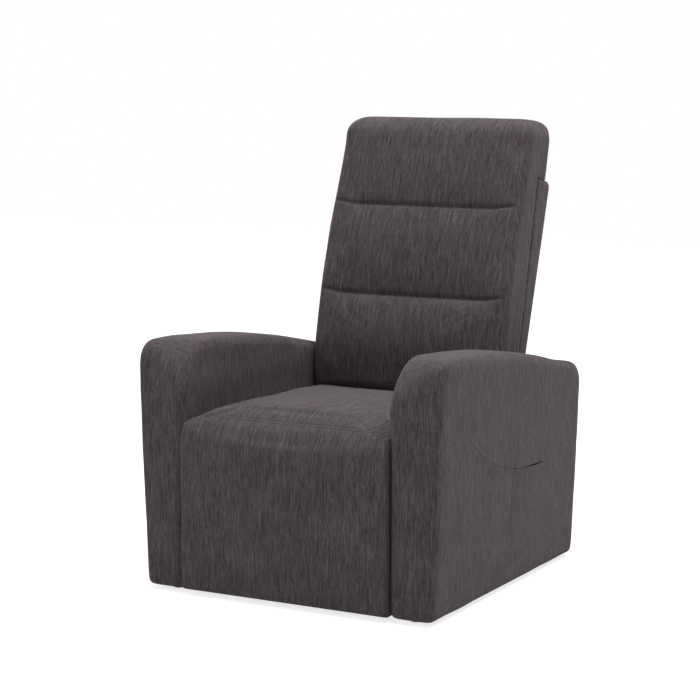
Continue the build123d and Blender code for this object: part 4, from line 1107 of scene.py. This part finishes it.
class ARMCHAIR_OT_frame_finishes(bpy.types.Operator):
    """Finishes of the wood, steel, plastic and webbing inside the chair"""

    bl_idname = "armchair.frame_finishes"
    bl_label = "Frame finishes"

    def execute(self, context):
        coat, coat_worn = (0.012, 0.012, 0.013), (0.02, 0.02, 0.021)
        zinc, zinc_dull = (0.55, 0.55, 0.54), (0.42, 0.42, 0.40)
        nylon, nylon_worn = (0.010, 0.010, 0.010), (0.016, 0.016, 0.016)
        finishes = {
            "timber": timber("raw_wood", (4.0, 30.0, 30.0), (0.62, 0.44, 0.26), (0.42, 0.26, 0.13)),
            "mechanism_steel": speckled("black_coat", coat, coat_worn, 0.45, 0.3, 600.0, 0.0002),
            "bright_steel": speckled("zinc_plate", zinc, zinc_dull, 0.32, 1.0, 300.0, 0.0001),
            "plastic": speckled("black_nylon", nylon, nylon_worn, 0.5, 0.0, 500.0, 0.0002),
            "webbing": woven("black_webbing", coat, (0.05, 0.05, 0.052), 0.0016),
        }
        for entry in frame["record"]["subparts"]:
            node = frame["nodes"][entry["node"]]
            finish = finishes.get(entry["material_slot"])
            if finish is not None:
                node.data.materials.clear()
                node.data.materials.append(finish)
        return {"FINISHED"}


class ARMCHAIR_OT_stage(bpy.types.Operator):
    """Camera, lamps, white floor and surroundings"""

    bl_idname = "armchair.stage"
    bl_label = "Stage"

    def execute(self, context):
        values = settings("stage")
        scene = context.scene
        scene.view_settings.view_transform = "Standard"
        data = bpy.data.cameras.new("view")
        data.sensor_width = 36.0
        data.lens = values.lens
        camera = bpy.data.objects.new("view", data)
        camera.location = values.camera
        camera.rotation_euler = (math.pi / 2 - values.pitch, 0.0, values.azimuth)
        scene.collection.objects.link(camera)
        scene.camera = camera
        for name, place, aim, size, power in (
            ("overhead", (0.9, 0.10, 5.0), (0.0, 0.0, 0.4), 3.6, values.key),
            ("side", (-1.6, -3.6, 1.7), (0.0, 0.0, 0.5), 2.0, values.side),
        ):
            lamp = bpy.data.lights.new(name, "AREA")
            lamp.shape = "SQUARE"
            lamp.size = size
            lamp.energy = power
            holder = bpy.data.objects.new(name, lamp)
            holder.location = place
            holder.rotation_euler = (Vector(aim) - Vector(place)).to_track_quat("-Z", "Y").to_euler()
            scene.collection.objects.link(holder)
        self.make_floor(values.floor)
        self.make_sky(values.sky)
        return {"FINISHED"}

    def make_floor(self, white):
        """White floor that keeps a soft shadow."""
        reach, drop = 9.0, 0.0005
        corners = np.array([(-1, -1, 0), (1, -1, 0), (1, 1, 0), (-1, 1, 0)]) * reach - (0, 0, drop)
        floor = new_object("floor", corners, [[0, 1, 2, 3]])
        material, tree, shader = new_material("white_floor")
        grey = (0.65, 0.65, 0.65, 1.0)
        set_inputs(tree, shader, {"Base Color": grey, "Roughness": 0.9, "Specular IOR Level": 0.0})
        strength = math_node(tree, "MULTIPLY", seen_directly(tree), white)
        glow = add_node(tree, "ShaderNodeEmission", {"Color": (1, 1, 1, 1), "Strength": strength})
        both = add_node(tree, "ShaderNodeAddShader", {0: shader.outputs[0], 1: glow.outputs[0]})
        set_inputs(tree, tree.nodes["Material Output"], {"Surface": both.outputs[0]})
        floor.data.materials.append(material)

    def make_sky(self, strength):
        """White to the camera, soft light to the rest."""
        world = bpy.data.worlds.new("studio")
        bpy.context.scene.world = world
        world.use_nodes = True
        tree = world.node_tree
        level = math_node(tree, "MULTIPLY_ADD", seen_directly(tree), 1.0 - strength, strength)
        set_inputs(tree, tree.nodes["Background"], {"Color": (1, 1, 1, 1), "Strength": level})


class ARMCHAIR_PT_panel(bpy.types.Panel):
    """Lists the steps that dress the armchair"""

    bl_idname = "ARMCHAIR_PT_panel"
    bl_label = "Armchair"
    bl_space_type = "VIEW_3D"
    bl_region_type = "UI"
    bl_category = "Armchair"

    def draw(self, context):
        for operator in STEPS:
            self.layout.operator(operator.bl_idname)
        for name in GROUPS:
            group = settings(name)
            box = self.layout.box()
            for key in group.__annotations__:
                box.prop(group, key)


GROUPS = {
    "chenille": ChenilleSettings,
    "cushion": CushionSettings,
    "stitch": StitchSettings,
    "stage": StageSettings,
}
STEPS = (
    ARMCHAIR_OT_arm_covers,
    ARMCHAIR_OT_seat_cover,
    ARMCHAIR_OT_back_cushion,
    ARMCHAIR_OT_outside_back,
    ARMCHAIR_OT_topstitching,
    ARMCHAIR_OT_frame_finishes,
    ARMCHAIR_OT_stage,
)


def register():
    for item in (*GROUPS.values(), *STEPS, ARMCHAIR_PT_panel):
        bpy.utils.register_class(item)
    for name, group in GROUPS.items():
        setattr(bpy.types.Scene, "armchair_" + name, PointerProperty(type=group))


def unregister():
    for name in GROUPS:
        delattr(bpy.types.Scene, "armchair_" + name)
    for item in reversed((*GROUPS.values(), *STEPS, ARMCHAIR_PT_panel)):
        bpy.utils.unregister_class(item)


def main():
    register()
    bpy.ops.armchair.arm_covers()
    bpy.ops.armchair.seat_cover()
    bpy.ops.armchair.back_cushion()
    bpy.ops.armchair.outside_back()
    bpy.ops.armchair.topstitching()
    bpy.ops.armchair.frame_finishes()
    bpy.ops.armchair.stage()


if __name__ == "__main__":
    main()
